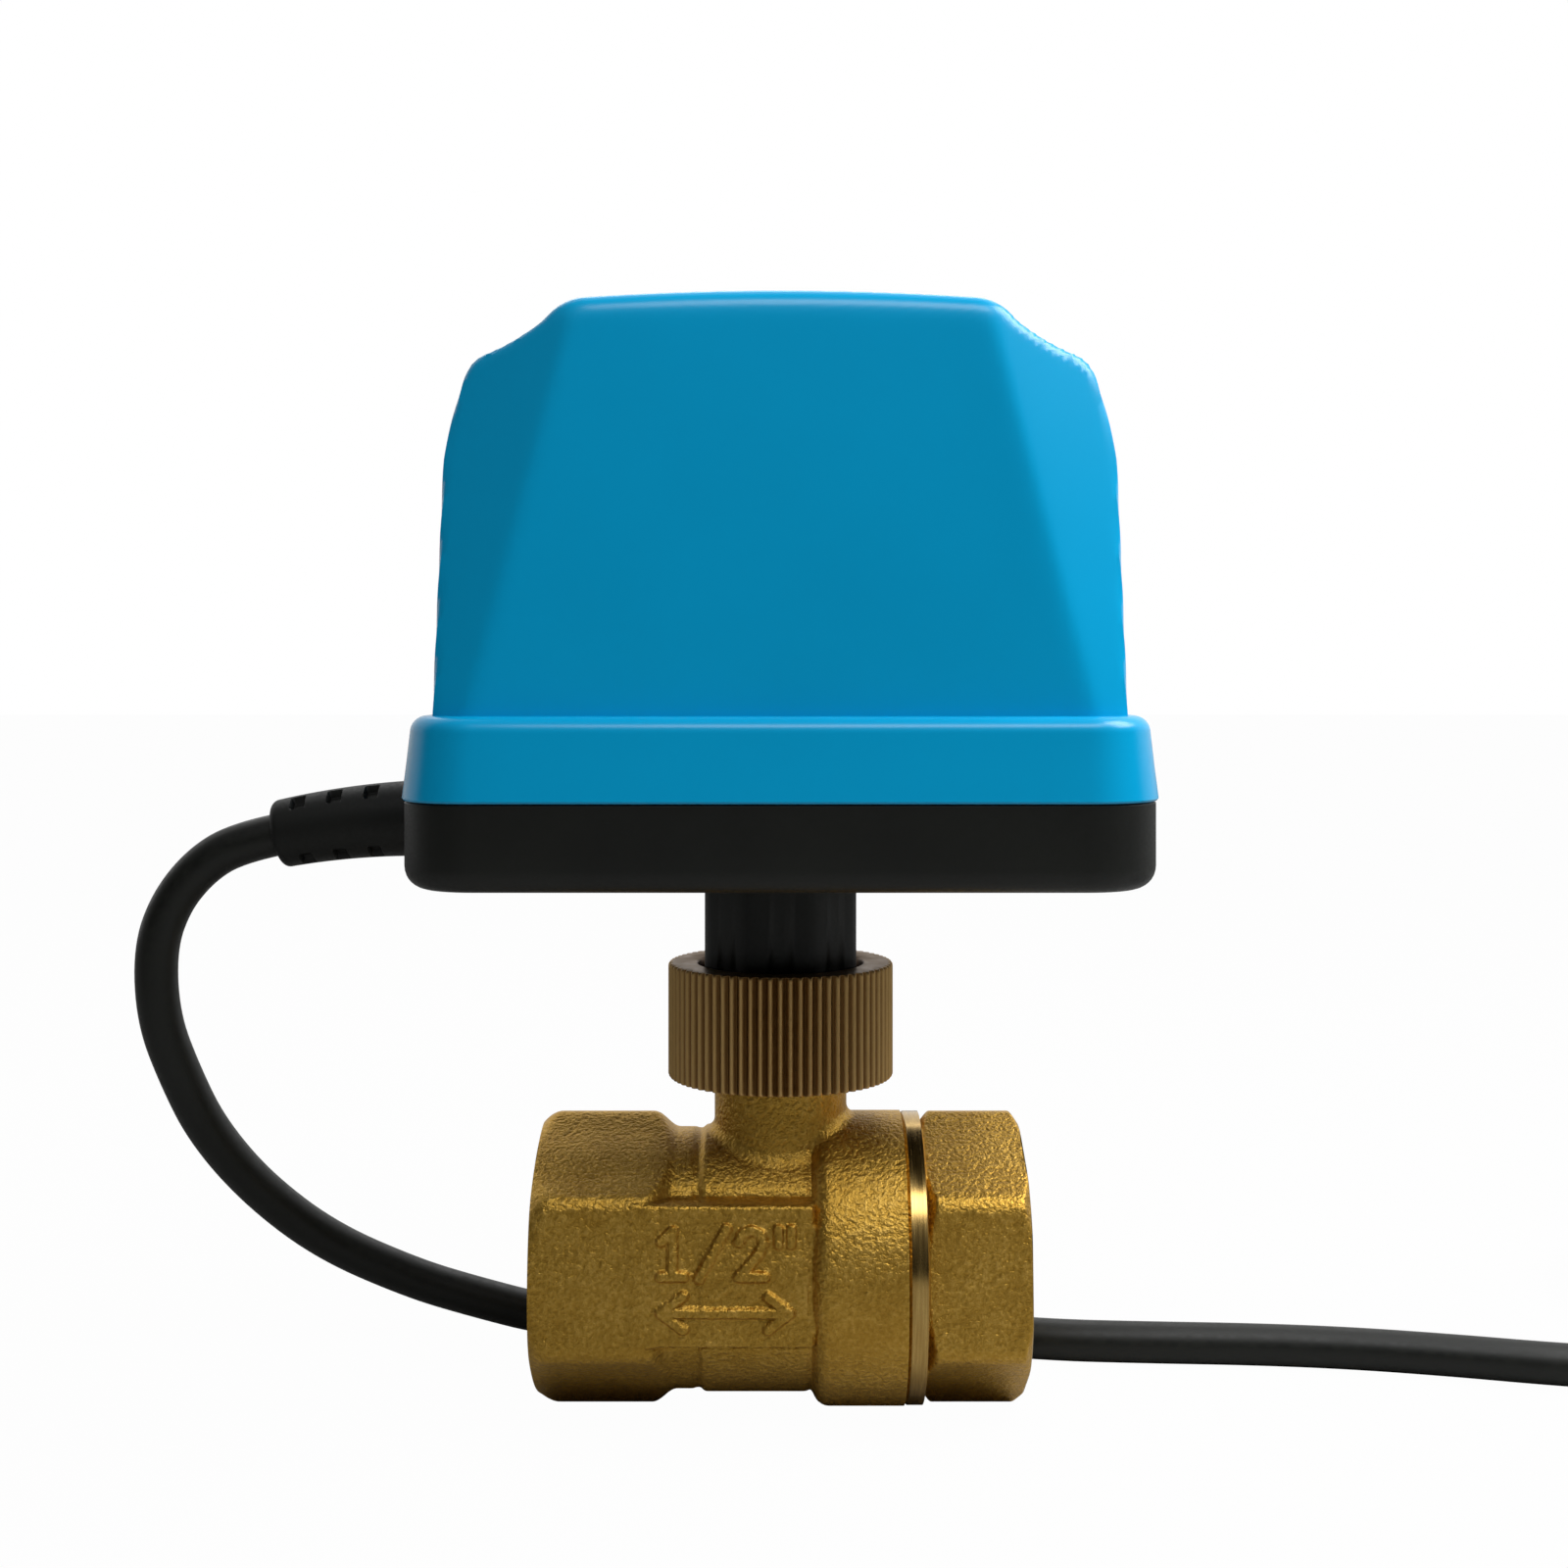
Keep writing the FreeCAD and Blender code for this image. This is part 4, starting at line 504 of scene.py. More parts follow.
def hexagon_end(angle, kit):
    """Polar radius of a hexagon bar with its corners at the top, leaning by HEX_TURN and turned
    down to a round: a flat is apothem / cos(d), with d the angle from the flat's middle, and a
    corner is a circle set back into the hexagon."""
    apothem, corner = kit.apothem / MM, kit.corner / MM
    off = np.abs(np.mod(angle + HEX_TURN, np.pi / 3) - np.pi / 6)
    to_corner = np.pi / 6 - off
    seat = (apothem - corner) / math.cos(math.pi / 6)
    limit = math.atan((apothem - corner) * math.tan(math.pi / 6) / apothem)
    circled = np.sqrt(np.maximum(corner ** 2 - (seat * np.sin(to_corner)) ** 2, 0))
    bar = np.where(off < limit, apothem / np.cos(off), seat * np.cos(to_corner) + circled)
    return soft_min(bar, TURNED_R, 0.4)


def mark_height(x, z, height):
    """Height of the raised mark, 1/2 in and a two-way flow arrow: full within half a stroke of any
    of its lines, which are given by their (x, z) ends, with a soft edge outside."""
    runs = [
        [(-14.6, 6.3), (-13.2, 7.5), (-13.2, 2.2)], [(-14.6, 2.2), (-11.8, 2.2)],
        [(-10.0, 2.0), (-6.6, 7.8)],
        [(-5.1, 6.2), (-4.6, 7.2), (-3.6, 7.6), (-2.5, 7.2), (-2.1, 6.1), (-2.6, 4.9), (-5.1, 2.2),
         (-1.9, 2.2)],
        [(-0.2, 7.7), (-0.2, 6.0)], [(1.3, 7.7), (1.3, 6.0)],
        [(-14.4, -2.1), (1.0, -2.1)],
        [(-11.9, -4.1), (-14.6, -2.1), (-11.9, -0.1)], [(-1.5, -4.1), (1.2, -2.1), (-1.5, -0.1)],
    ]
    nearest = np.full(np.broadcast(x, z).shape, 9.0)
    for (ax, az), (bx, bz) in (ends for run in runs for ends in zip(run, run[1:])):
        length = (bx - ax) ** 2 + (bz - az) ** 2
        share = np.clip(((x - ax) * (bx - ax) + (z - az) * (bz - az)) / length, 0, 1)
        nearest = np.minimum(nearest, np.hypot(x - ax - share * (bx - ax), z - az - share * (bz - az)))
    return height * (1 - ramp(nearest, 0.34, 0.88))


def body_radius(x, angle, kit):
    """Outside of the cast body as a polar radius about the pipe axis, angle from the top towards
    the front. A hexagon end, cut by a cone outside and a slope inside, runs softly into a round
    waist, and the waist climbs a slope to the barrel, with a shallow valley near each. A flat pad
    stands on the waist's front, with the mark on it and a groove over and under it."""
    end = soft_min(hexagon_end(angle, kit), CONE_R + (x - BODY_LOW[0]) * CONE_SLOPE, 1.6)
    end = soft_min(end, TURNED_R - (x + 16.0) * 1.05, 0.8)
    waist = WAIST_R + WAIST_STEP * ramp(x, -10.9, -10.3)
    barrel = soft_min(np.full_like(x, BARREL_R), 16.5 + (x - 3.4) * 1.1, 1.0)
    shape = soft_max(soft_max(end, waist, 0.8), barrel, 0.7)
    for middle in (VALLEY_LEFT, VALLEY_RIGHT):
        shape = shape - VALLEY_DEPTH * np.exp(-((x - middle) / VALLEY_WIDTH) ** 2)
    front = np.cos(angle + HEX_TURN - np.pi / 2)
    up = np.cos(angle)
    for ledge in (PAD_TOP + 0.45, -PAD_FOOT - 0.4):
        span = ramp(x, -17.0, -15.5) * (1 - ramp(x, 3.0, 4.5)) * (front > 0.2)
        shape = shape - LEDGE_DEPTH * span * np.exp(-((shape * up - ledge) / 0.35) ** 2)
    pad = kit.apothem / MM / np.maximum(front, 0.2)
    pad = soft_min(pad, PAD_TOP / np.maximum(up, 0.02), 1.0)
    pad = soft_min(pad, PAD_FOOT / np.maximum(-up, 0.02), 1.0)
    pad = soft_min(pad, 15.0 + (PAD_RIGHT - x) * 4.0, 1.4)
    pad = np.where((front > 0.3) & (x > -18.5), pad, 0.0)
    shape = soft_max(shape, pad, 0.7)
    return shape + mark_height(x, shape * up, kit.mark / MM) * (front > 0.5) * (x < 3)


def body_height(x, y, kit):
    """Height of the body's top over a point of its plan, by following the polar radius."""
    z = np.full_like(x, 14.0)
    for _ in range(12):
        radius = body_radius(x, np.arctan2(-y, z), kit)
        z = np.sqrt(np.maximum(radius ** 2 - y ** 2, 1.0))
    return z


def threaded_bore(x, angle, mouth, way, kit):
    """Female thread: the bore's radius rises and falls as a rounded V with the pitch along the pipe
    and one turn round it, and fades out at a chamfer in the mouth and a relief inside."""
    inside = np.abs(x - mouth)
    wave = 0.5 - 0.5 * np.cos(2 * np.pi * (inside / (kit.pitch / MM) + way * angle / (2 * np.pi)))
    fade = ramp(inside, 0.2, 0.9) * (1 - ramp(inside, THREAD_LENGTH, THREAD_LENGTH + 1.2))
    radius = BORE_R + THREAD_DEPTH * wave * fade + MOUTH_CHAMFER * (1 - ramp(inside, 0.0, 1.0))
    return round_pipe(x, radius, angle)


def make_cast_body(kit):
    """Body: the outside from left to right, then the chamber and the threaded port back again. The
    stem neck is joined to it, with a quarter-circle fillet at its foot, and the stem's way cut."""
    fine = np.radians(stations(0, (50, 30), (133, 260), (360, 110)))[:-1][None, :]
    x = stations(BODY_LOW[0], (-30.0, 4), (-18.2, 20), (4.8, 100), (BODY_HIGH[0], 24))[:, None]
    outside = round_pipe(x, body_radius(x + 0 * fine, fine, kit), fine)
    chamber = round_pipe(*columns([(15.7, SPIGOT_R), (8.6, SPIGOT_R), (8.5, CHAMBER_R),
                                   (-SEAT_X, CHAMBER_R), (-SEAT_X, WATERWAY_R),
                                   (-PORT_END, WATERWAY_R)]), fine)
    port = threaded_bore(stations(-PORT_END, (BODY_LOW[0], 72))[:, None], fine, BODY_LOW[0], 1, kit)
    body = surface("valve_body_casting", np.vstack([outside, chamber, port]), ring=True)

    angle, fillet = circle(160), kit.fillet / MM
    sweep = np.radians(stations(0, (90, 12)))[:, None]
    ring = NECK_R + fillet * (1 - np.sin(sweep))
    px, py = ring * np.cos(angle), ring * np.sin(angle)
    foot = np.stack([px, py, body_height(px, py, kit) + fillet * (1 - np.cos(sweep)) - 0.04], -1)
    below = foot[:1] - [0, 0, 1.2]
    stem = round_stem(*columns([(NECK_R, 23.4), (NECK_R, 23.8), (10.9, 24.8), (NECK_THREAD_R, 25.8),
                                (NECK_THREAD_R, 32.7), (11.1, 33.5), (6.0, 33.5)]), angle)
    combined(body, [surface("neck", np.vstack([below, foot, stem]))], "UNION")
    way = turned("stem_way", [(6.85, 5.0), (6.85, 15.05), (5.0, 15.05), (5.0, 40.0)], 72)
    return combined(body, [way], "DIFFERENCE")


def make_tail(kit):
    """Tail piece: a turned collar with a groove, a hexagon cut by a cone at each end, and its bore."""
    angle = np.radians(np.arange(0, 360, 1.25))[None, :]
    x = stations(TAIL_LOW[0], (15.68, 2), (15.72, 1), (18.05, 6), (18.55, 4), (20.4, 16), (29.0, 18),
                 (TAIL_HIGH[0], 16))[:, None]
    hexagon = soft_min(hexagon_end(angle, kit), TAIL_CONE_R + (TAIL_HIGH[0] - x) * TAIL_CONE_SLOPE, 0.5)
    hexagon = soft_min(hexagon, 17.2 + (x - 18.45) * 1.6, 0.5)
    collar = np.minimum(COLLAR_R - 0.3 * ramp(-x, -16.0, -15.7), COLLAR_R - 5.5 * (x - 18.05))
    collar = np.where(x < 15.7, SPIGOT_R, np.maximum(collar, SPIGOT_R))
    outside = round_pipe(x, np.where(x < 18.4, collar + 0 * angle, hexagon), angle)
    mouth = TAIL_HIGH[0]
    port = threaded_bore(stations(mouth, (PORT_END, 84))[:, None], angle, mouth, -1, kit)
    inside = round_pipe(*columns([(PORT_END, WATERWAY_R), (SEAT_X, WATERWAY_R), (SEAT_X, CHAMBER_R),
                                  (TAIL_LOW[0], CHAMBER_R)]), angle)
    return surface("tail_piece_turned", np.vstack([outside, port, inside]), ring=True)


def make_nut(kit):
    """Union nut: a cylinder whose radius dips in cosine flutes, chamfered at both ends, with a
    threaded bore below and an inner lip above."""
    angle = circle(kit.flutes * 10)
    low, high, outer = NUT_LOW[2], NUT_HIGH[2], NUT_HIGH[0]
    heights = stations(low, (low + 0.45, 4), (high - 0.45, 6), (high, 4))[:, None]
    fluted = outer - FLUTE_DEPTH * (1 - np.cos(angle * kit.flutes / 2) ** 2)
    chamfer = outer - NUT_CHAMFER + 1.1 * np.minimum(heights - low, high - heights)
    outside = round_stem(soft_min(fluted, chamfer, 0.2), heights, angle)
    bore = round_stem(*columns([
        (NUT_BORE_R, high), (11.0, high), (NUT_LIP_R, high - 0.25), (NUT_LIP_R, high - 2.5),
        (12.0, high - 2.5), (12.0, low + 0.5), (12.5, low), (NUT_BORE_R, low)]), angle)
    return surface("union_nut_knurled", np.vstack([outside, bore]), ring=True)


# Housing

CORNERS = [(sx, sy) for sx in (-1, 1) for sy in (-1, 1)]
SCREWS = [(sx * 37.6, sy * 26.2) for sx, sy in CORNERS]
ENTRY_Z = SEAM_Z - 4.0
WALL, TRAY_DEPTH, TRAY_CORNER, SKIRT_CORNER = 2.5, 10.4, 9.0, 9.3
PILLAR_R, TUBE_R, OCTAGON_CORNER_R, GROOVE_R = 3.4, 9.8, 10.45, 8.9
SNAP_LOW, SNAP_HIGH, TUBE_TOP = 35.9 - 1.25, 35.9 - 1.25 + 1.1, 36.0


def make_base(kit):
    """Base tray: a wall profile carried round a rounded rectangle, with an octagon neck below it,
    four screw pillars, and holes for the screws, posts, axle, bush and cable."""
    half_x, half_y = BASE_HIGH[0], BASE_HIGH[1]
    bottom, seam, edge = SEAM_Z - TRAY_DEPTH, SEAM_Z, kit.base_edge / MM
    floor = bottom + WALL
    profile = [(30.0, bottom), (12.0, bottom), *arc(edge, bottom + edge, -edge, 90, 0, 8)]
    profile += [(0, bottom + 5), (0, seam - 0.3), (0.25, seam), (0.7, seam), (0.7, seam - 1.0),
                (1.8, seam - 1.0), (1.8, seam), (WALL, seam), (WALL, floor + 1.0),
                (WALL + 0.3, floor + 0.3), (WALL + 1.0, floor), (12.0, floor), (30.0, floor)]
    tray = walled("base_tray", profile, half_x, half_y, TRAY_CORNER, ring=False)
    angle, low = circle(96), BASE_LOW[2]
    octagon = TUBE_R / np.cos(np.mod(angle + np.pi / 8, np.pi / 4) - np.pi / 8)
    octagon = soft_min(octagon, OCTAGON_CORNER_R, 0.3)
    tube = round_stem(*columns([
        (9.5, low), (TUBE_R, low + 0.3), (TUBE_R, SNAP_LOW), (GROOVE_R, SNAP_LOW),
        (GROOVE_R, SNAP_HIGH), (TUBE_R, SNAP_HIGH), (TUBE_R, TUBE_TOP)]), angle)
    eight = [round_stem(octagon, z, angle) for z in (TUBE_TOP + 0.1, bottom + 0.6)]
    neck = surface("neck", np.vstack([tube, *eight]))
    pillars = [turned("pillar", [(PILLAR_R, bottom + 1), (PILLAR_R, seam)], 40, at) for at in SCREWS]
    combined(tray, [neck, *pillars], "UNION")
    cuts = [turned("bush_way", [(7.0, low - 1), (7.0, seam + 1)], 64)]
    cuts += [turned("screw_way", [(3.1, bottom - 1), (3.1, bottom + 3.0), (1.55, bottom + 3.0),
                                  (1.55, seam + 1)], 40, at) for at in SCREWS]
    px, py = node_box("lower_posts")[1][:2] - 2.5
    cuts += [turned("post_seat", [(1.5, floor - 1.5), (1.5, floor + 1)], 24, (sx * px, sy * py))
             for sx, sy in CORNERS]
    axle = sum(node_box("layshaft_axle")) / 2
    cuts += [turned("axle_seat", [(1.5, floor - 0.5), (1.5, floor + 1)], 24, axle[:2]),
             turned("cable_way", [(2.95, -half_x - 1), (2.95, -half_x + 3.5)], 40, (0, ENTRY_Z), "X")]
    return combined(tray, cuts, "DIFFERENCE")


# The cover's front outline from its foot up: how far each point is in from the block's side and
# down from its top.
OUTLINE = ((1.15, 18.6), (2.3, 13.4), (3.7, 8.8), (4.7, 7.3), (6.5, 6.3), (10.4, 4.65), (13.5, 2.7),
           (15.1, 1.1), (18.6, 0.0))
BLOCK_X, BLOCK_Y, BLOCK_LEAN = 41.2, 29.6, 1.6 / 49.2
EYE_Z = 85.0
FACET_PLAN, FACET_LEAN, FACET_REACH, FACET_Z = 0.44, 0.145, 44.4, 79.9
FOOT_INSET, TOP_CROWN, SIDE_POINTS = 0.5, 0.8, 60


def arc_through(a, b, c, steps=16):
    """Points of the circle through three points, from the first to the last. Its middle is where
    the lines halfway between a and b, and between b and c, cross."""
    (ax, az), (bx, bz), (cx, cz) = a, b, c
    d = 2 * (ax * (bz - cz) + bx * (cz - az) + cx * (az - bz))
    sa, sb, sc = ax * ax + az * az, bx * bx + bz * bz, cx * cx + cz * cz
    mx = (sa * (bz - cz) + sb * (cz - az) + sc * (az - bz)) / d
    mz = (sa * (cx - bx) + sb * (ax - cx) + sc * (bx - ax)) / d
    start, end = (math.atan2(p[1] - mz, p[0] - mx) for p in (a, c))
    turn = (end - start + math.pi) % (2 * math.pi) - math.pi
    t = start + turn * np.linspace(0, 1, steps + 1)
    radius = math.hypot(ax - mx, az - mz)
    return np.column_stack([mx + radius * np.cos(t), mz + radius * np.sin(t)])


def cover_outline():
    """Right half of the cover's front outline from its foot to the middle of its crowned top."""
    peak = COVER_HIGH[2]
    p = [(BLOCK_X - inset, peak - drop) for inset, drop in OUTLINE]
    side = np.linspace((BLOCK_X - FOOT_INSET, 68.0), p[0], SIDE_POINTS)
    arcs = [arc_through(*p[k:k + 3])[1:] for k in (0, 2, 4, 6)]
    across = np.linspace(1, 0, 60)[1:]
    top = np.column_stack([p[-1][0] * across, peak + TOP_CROWN * (1 - across ** 2)])
    return np.vstack([side, *arcs, top])


def cover_rows(inset, azimuth, origin_z, climb, edge):
    """Skin of the cover's raised block. Rays leave the middle, level at first and then fanning up
    from one point, and each ends where it first meets the front outline, the drafted front and
    back or the leaning corner facets. A smooth minimum of these lengths rounds the edges."""
    line = cover_outline()
    seen = np.arctan2(line[:, 1] - EYE_Z, line[:, 0])
    reach = np.hypot(line[:, 0], line[:, 1] - EYE_Z) - inset
    dx, dy = np.cos(climb) * np.cos(azimuth), np.cos(climb) * np.sin(azimuth)
    dz = np.sin(climb) + 0 * azimuth
    fan = np.interp(np.arctan2(dz, np.abs(dx)), seen, reach) / np.maximum(np.hypot(dx, dz), 1e-3)
    side_x = np.interp(origin_z, line[:SIDE_POINTS, 1], line[:SIDE_POINTS, 0]) - inset
    side = np.where(climb > 0, fan, side_x / np.maximum(np.abs(dx), 1e-3))
    front = BLOCK_Y - inset - BLOCK_LEAN * (origin_z - 71.1)
    front = front / np.maximum(np.abs(dy) + BLOCK_LEAN * dz, 1e-3)
    facet = FACET_REACH - FACET_LEAN * (origin_z - FACET_Z)
    facet = facet - inset * math.hypot(1, FACET_PLAN, FACET_LEAN)
    facet = facet / (FACET_PLAN * np.abs(dx) + np.abs(dy) + FACET_LEAN * dz)
    ray = soft_min(soft_min(side, front, 1.66 * edge), facet, 0.2 * edge)
    return np.stack([ray * dx, ray * dy, origin_z + ray * dz], -1)


def make_cover(kit):
    """Cover: the block's outer and inner skins joined at the foot, the skirt, and four bosses."""
    edge, foot = kit.edge / MM, SEAM_Z + 8.2
    azimuth = np.radians(np.arange(0, 360, 0.9))[None, :]
    levels = np.concatenate([stations(foot, (EYE_Z, 14)), np.full(96, EYE_Z)])[:, None]
    climb = np.radians(np.concatenate([np.zeros(15), stations(0, (89.4, 96))[1:]]))[:, None]
    outer = cover_rows(0, azimuth, levels, climb, edge)
    inner = cover_rows(WALL, azimuth, levels[::3], climb[::3], edge)
    block = surface("cover_shell", np.vstack([outer[::-1], inner]))
    top, draft, round_r = SEAM_Z + 9.95, 1.2, 2.0
    profile = [(0.2, SEAM_Z), (0, SEAM_Z + 0.25), (draft * 0.4, top - 6.0),
               (draft * 0.78, top - round_r),
               *arc(draft * 0.78 + round_r, top - round_r, round_r, 170, 90, 7),
               (5.0, top), (6.4, top), (6.4, top - WALL), (WALL + 1.4, top - WALL),
               (WALL + 0.8, top - WALL - 0.6), (WALL, SEAM_Z + 2.0), (WALL, SEAM_Z)]
    skirt = walled("skirt", profile, COVER_HIGH[0], COVER_HIGH[1], SKIRT_CORNER, ring=True)
    bosses = [turned("boss", [(PILLAR_R, SEAM_Z), (PILLAR_R, SEAM_Z + 7.6)], 40, at) for at in SCREWS]
    combined(block, [skirt], "UNION")
    combined(block, bosses, "UNION")
    ways = [turned("screw_way", [(1.5, SEAM_Z - 1), (1.5, SEAM_Z + 6.6)], 32, at) for at in SCREWS]
    return combined(block, ways, "DIFFERENCE")


BOOT_LENGTH, BOOT_DROOP, BOOT_ROOT_X = 21.0, math.radians(12.0), -44.8
BOOT_R, BOOT_TAPER, BOOT_BORE_R, WINDOW_FIRST, WINDOW_PITCH = 5.02, 0.6, 2.76, 7.9, 4.65


def boot_place(distance):
    """Centre and heading along the boot: an arc that droops evenly from level at the wall."""
    bend = BOOT_LENGTH / BOOT_DROOP
    a = np.asarray(distance) / bend
    return BOOT_ROOT_X - bend * np.sin(a), ENTRY_Z - bend * (1 - np.cos(a)), a


def round_boot(distance, radius, angle):
    """Points at a radius about the boot's drooping middle line."""
    x, z, a = (value[:, None] for value in boot_place(distance))
    up = radius * np.sin(angle)
    return np.stack([x - up * np.sin(a), radius * np.cos(angle), z + up * np.cos(a)], -1)


def make_boot():
    """Strain relief: a round taper carried along the drooping arc, with a step at the wall, a
    rounded tip and three windows in a row at each of its four shoulders."""
    angle = np.radians(np.arange(0, 360, 2.5))[None, :]
    s = np.concatenate([stations(0.0, (2.9, 8), (3.4, 3), (20.0, 110)),
                        20.0 + np.sin(np.radians(stations(0, (90, 8))[1:]))])
    radius = BOOT_R - BOOT_TAPER * s / BOOT_LENGTH
    radius = radius - 0.16 * (1 - ramp(s, 2.8, 3.3))
    radius = radius - 1.0 * (1 - np.sqrt(np.clip(1 - np.clip(s - 20.0, 0, 1) ** 2, 0, 1)))
    window = np.zeros_like(s)
    for k in range(3):
        left, right = WINDOW_FIRST + WINDOW_PITCH * k - 0.65, WINDOW_FIRST + WINDOW_PITCH * k + 0.65
        window = np.maximum(window, ramp(s, left - 0.3, left) * (1 - ramp(s, right, right + 0.3)))
    shoulder = np.abs(np.arcsin(np.abs(np.sin(angle))) - math.radians(57))
    across = 1 - ramp(shoulder, math.radians(12), math.radians(17))
    outside = round_boot(s, radius[:, None] - 1.0 * window[:, None] * across, angle)
    bore = round_boot(stations(BOOT_LENGTH, (0.0, 12)), np.full((13, 1), BOOT_BORE_R), angle)
    x, r = columns([(-39.5, BOOT_BORE_R), (-39.5, 4.2), (-41.9, 4.2), (-41.9, 2.93), (-44.7, 2.93)])
    flange = np.stack([x + 0 * angle, r * np.cos(angle), ENTRY_Z + r * np.sin(angle)], -1)
    return surface("strain_relief_boot", np.vstack([outside, bore, flange]), ring=True)


# Cable

COIL_X, COIL_PITCH = 151.0, 6.1
SPLINE_SHARE = 0.966


def cable_points(kit):
    """Control points of the cable, in millimetres: the route from part.py, then the coil's half
    turns, which spiral in on the floor, climb a layer and spiral out. A quadratic spline through
    points 30 degrees apart runs SPLINE_SHARE of their radius from the middle, so they stand that
    much further out."""
    low, coil_radius = FLOOR_Z + kit.diameter / MM / 2, kit.coil_radius / MM
    tip_x, tip_z, a = boot_place(BOOT_LENGTH)
    tip = np.array([tip_x, 0.0, tip_z])
    route = [tip, tip + np.array([-math.cos(a), 0.0, -math.sin(a)]) * 5.5]
    route += [(-75.7, 0, 51.0), (-79.6, 0, 46.3), (-81.8, 0, 40.1), (-81.5, 0.4, 30.9),
              (-79.2, 2.0, 23.2), (-76.7, 5.9, 14.9), (-71.7, 11.8, 5.7), (-63.3, 16.5, -2.9),
              (-51.9, 19.2, -8.9),
              (-43.9, 20.5, -11.8), (-32.6, 21.8, -15.2), (-20.0, 22.5, low), (-5.0, 22.0, low),
              (10.0, 20.3, low), (24.0, 17.0, low), (37.0, 13.6, low), (50.0, 12.6, low),
              (64.0, 11.9, low), (77.0, 10.4, low), (90.0, 7.6, low), (102.5, 4.2, low),
              (114.0, 2.0, low), (125.5, 1.6, low + 0.2)]
    x, y, z, radius, heading = COIL_X, 2.6, low + 0.8, coil_radius, 1
    route += [(x - 14.5, y, z), (x - 5.5, y, z)]
    upper = z + 1
    for side in (1, -1, 1, -1, 1, -1):
        innermost = abs(radius - (coil_radius - 1.5 * COIL_PITCH)) < 0.1
        climb = COIL_PITCH if side == heading == -1 and innermost and z < upper else 0
        reach = radius / SPLINE_SHARE
        for degrees in (-75, -45, -15, 15, 45, 75):
            t = math.radians(degrees)
            route.append((x + side * reach * math.cos(t),
                          y + heading * radius + heading * reach * math.sin(t),
                          z + climb * ((degrees + 90) / 180)))
        y, heading, z = y + 2 * heading * radius, -heading, z + climb
        radius += COIL_PITCH / 2 if z > upper else -COIL_PITCH / 2
    return np.array(route + [(x + 1.5, y, z)], float)


def core_points(end, kit):
    """Control points of the three cores, from the cable's end over the coil and down to the floor."""
    drop = end[2] - FLOOR_Z - kit.core / MM / 2
    routes = []
    for k, side in enumerate((0, -1, 1)):
        a = math.radians(90 + 120 * k)
        root = end + np.array([0, 1.16 * math.cos(a), 1.16 * math.sin(a)])
        steps = [(10, 2.1 * side - 0.3, -0.7 + 0.5 * (side == 0)), (16, 2.2 * side - 1.1, -1.8),
                 (22, 2.5 * side - 2.4, -2.4), (26.2, 2.9 * side - 3.6, -6.1),
                 (29.1, 3.2 * side - 4.4, 0.25 - drop), (32, 3.5 * side - 5.2, -drop)]
        routes.append(np.array([root, root + [4, 0, 0]] + [end + np.array(s) for s in steps]))
    return routes


def spline_piece(name, points, diameter, material):
    """One NURBS curve with the points as its control points and a round section."""
    curve = bpy.data.curves.new(name, "CURVE")
    curve.dimensions = "3D"
    curve.resolution_u, curve.bevel_resolution = 8, 6
    curve.bevel_depth = diameter / 2
    curve.use_fill_caps = True
    line = curve.splines.new("NURBS")
    line.points.add(len(points) - 1)
    line.points.foreach_set("co", np.column_stack([in_frame(points), np.ones(len(points))]).ravel())
    line.order_u = 3
    line.use_endpoint_u = True
    curve.materials.append(material)
    return linked(name, curve)


# Stage

FLOOR_REACH = 4.0
# Lamps: where each stands and what it faces, in metres about the ball, its size and its setting.
LAMPS = {
    "softbox_front": ((0.10, -0.36, 0.56), (0, 0, 0), (0.42, 0.20), "softbox"),
    "softbox_right": ((0.27, -0.035, 0.33), (0, 0, 0.06), (0.20, 0.20), "side"),
    "softbox_back": ((-0.05, 0.40, 0.45), (0, 0, 0.05), (0.50, 0.20), "back"),
}


def pale_floor():
    """Matt white studio sweep: seen by the camera it glows nearly white, with a faint shadow."""
    material, tree, _, tone = new_material("matt_white_sweep", (60.0, 2.0, 0.5))
    tint = add_node(tree, "ValToRGB", {"Fac": tone}, stops=((0.3, "#B4B4B2"), (0.7, "#BCBCBA")))
    shader = add_node(tree, "BsdfPrincipled", {"Base Color": tint, "Roughness": 0.9})
    glow = add_node(tree, "Emission", {"Color": (1, 1, 1, 1), "Strength": 1.0})
    rays = add_node(tree, "LightPath").node.outputs
    seen = add_node(tree, "Math", {0: rays["Is Camera Ray"], 1: rays["Is Transmission Ray"]},
                    operation="MAXIMUM")
    share = add_node(tree, "Math", {0: seen, 1: 0.98}, operation="MULTIPLY")
    mixed = add_node(tree, "MixShader", {0: share, 1: shader, 2: glow})
    add_node(tree, "OutputMaterial", {"Surface": mixed})
    return material


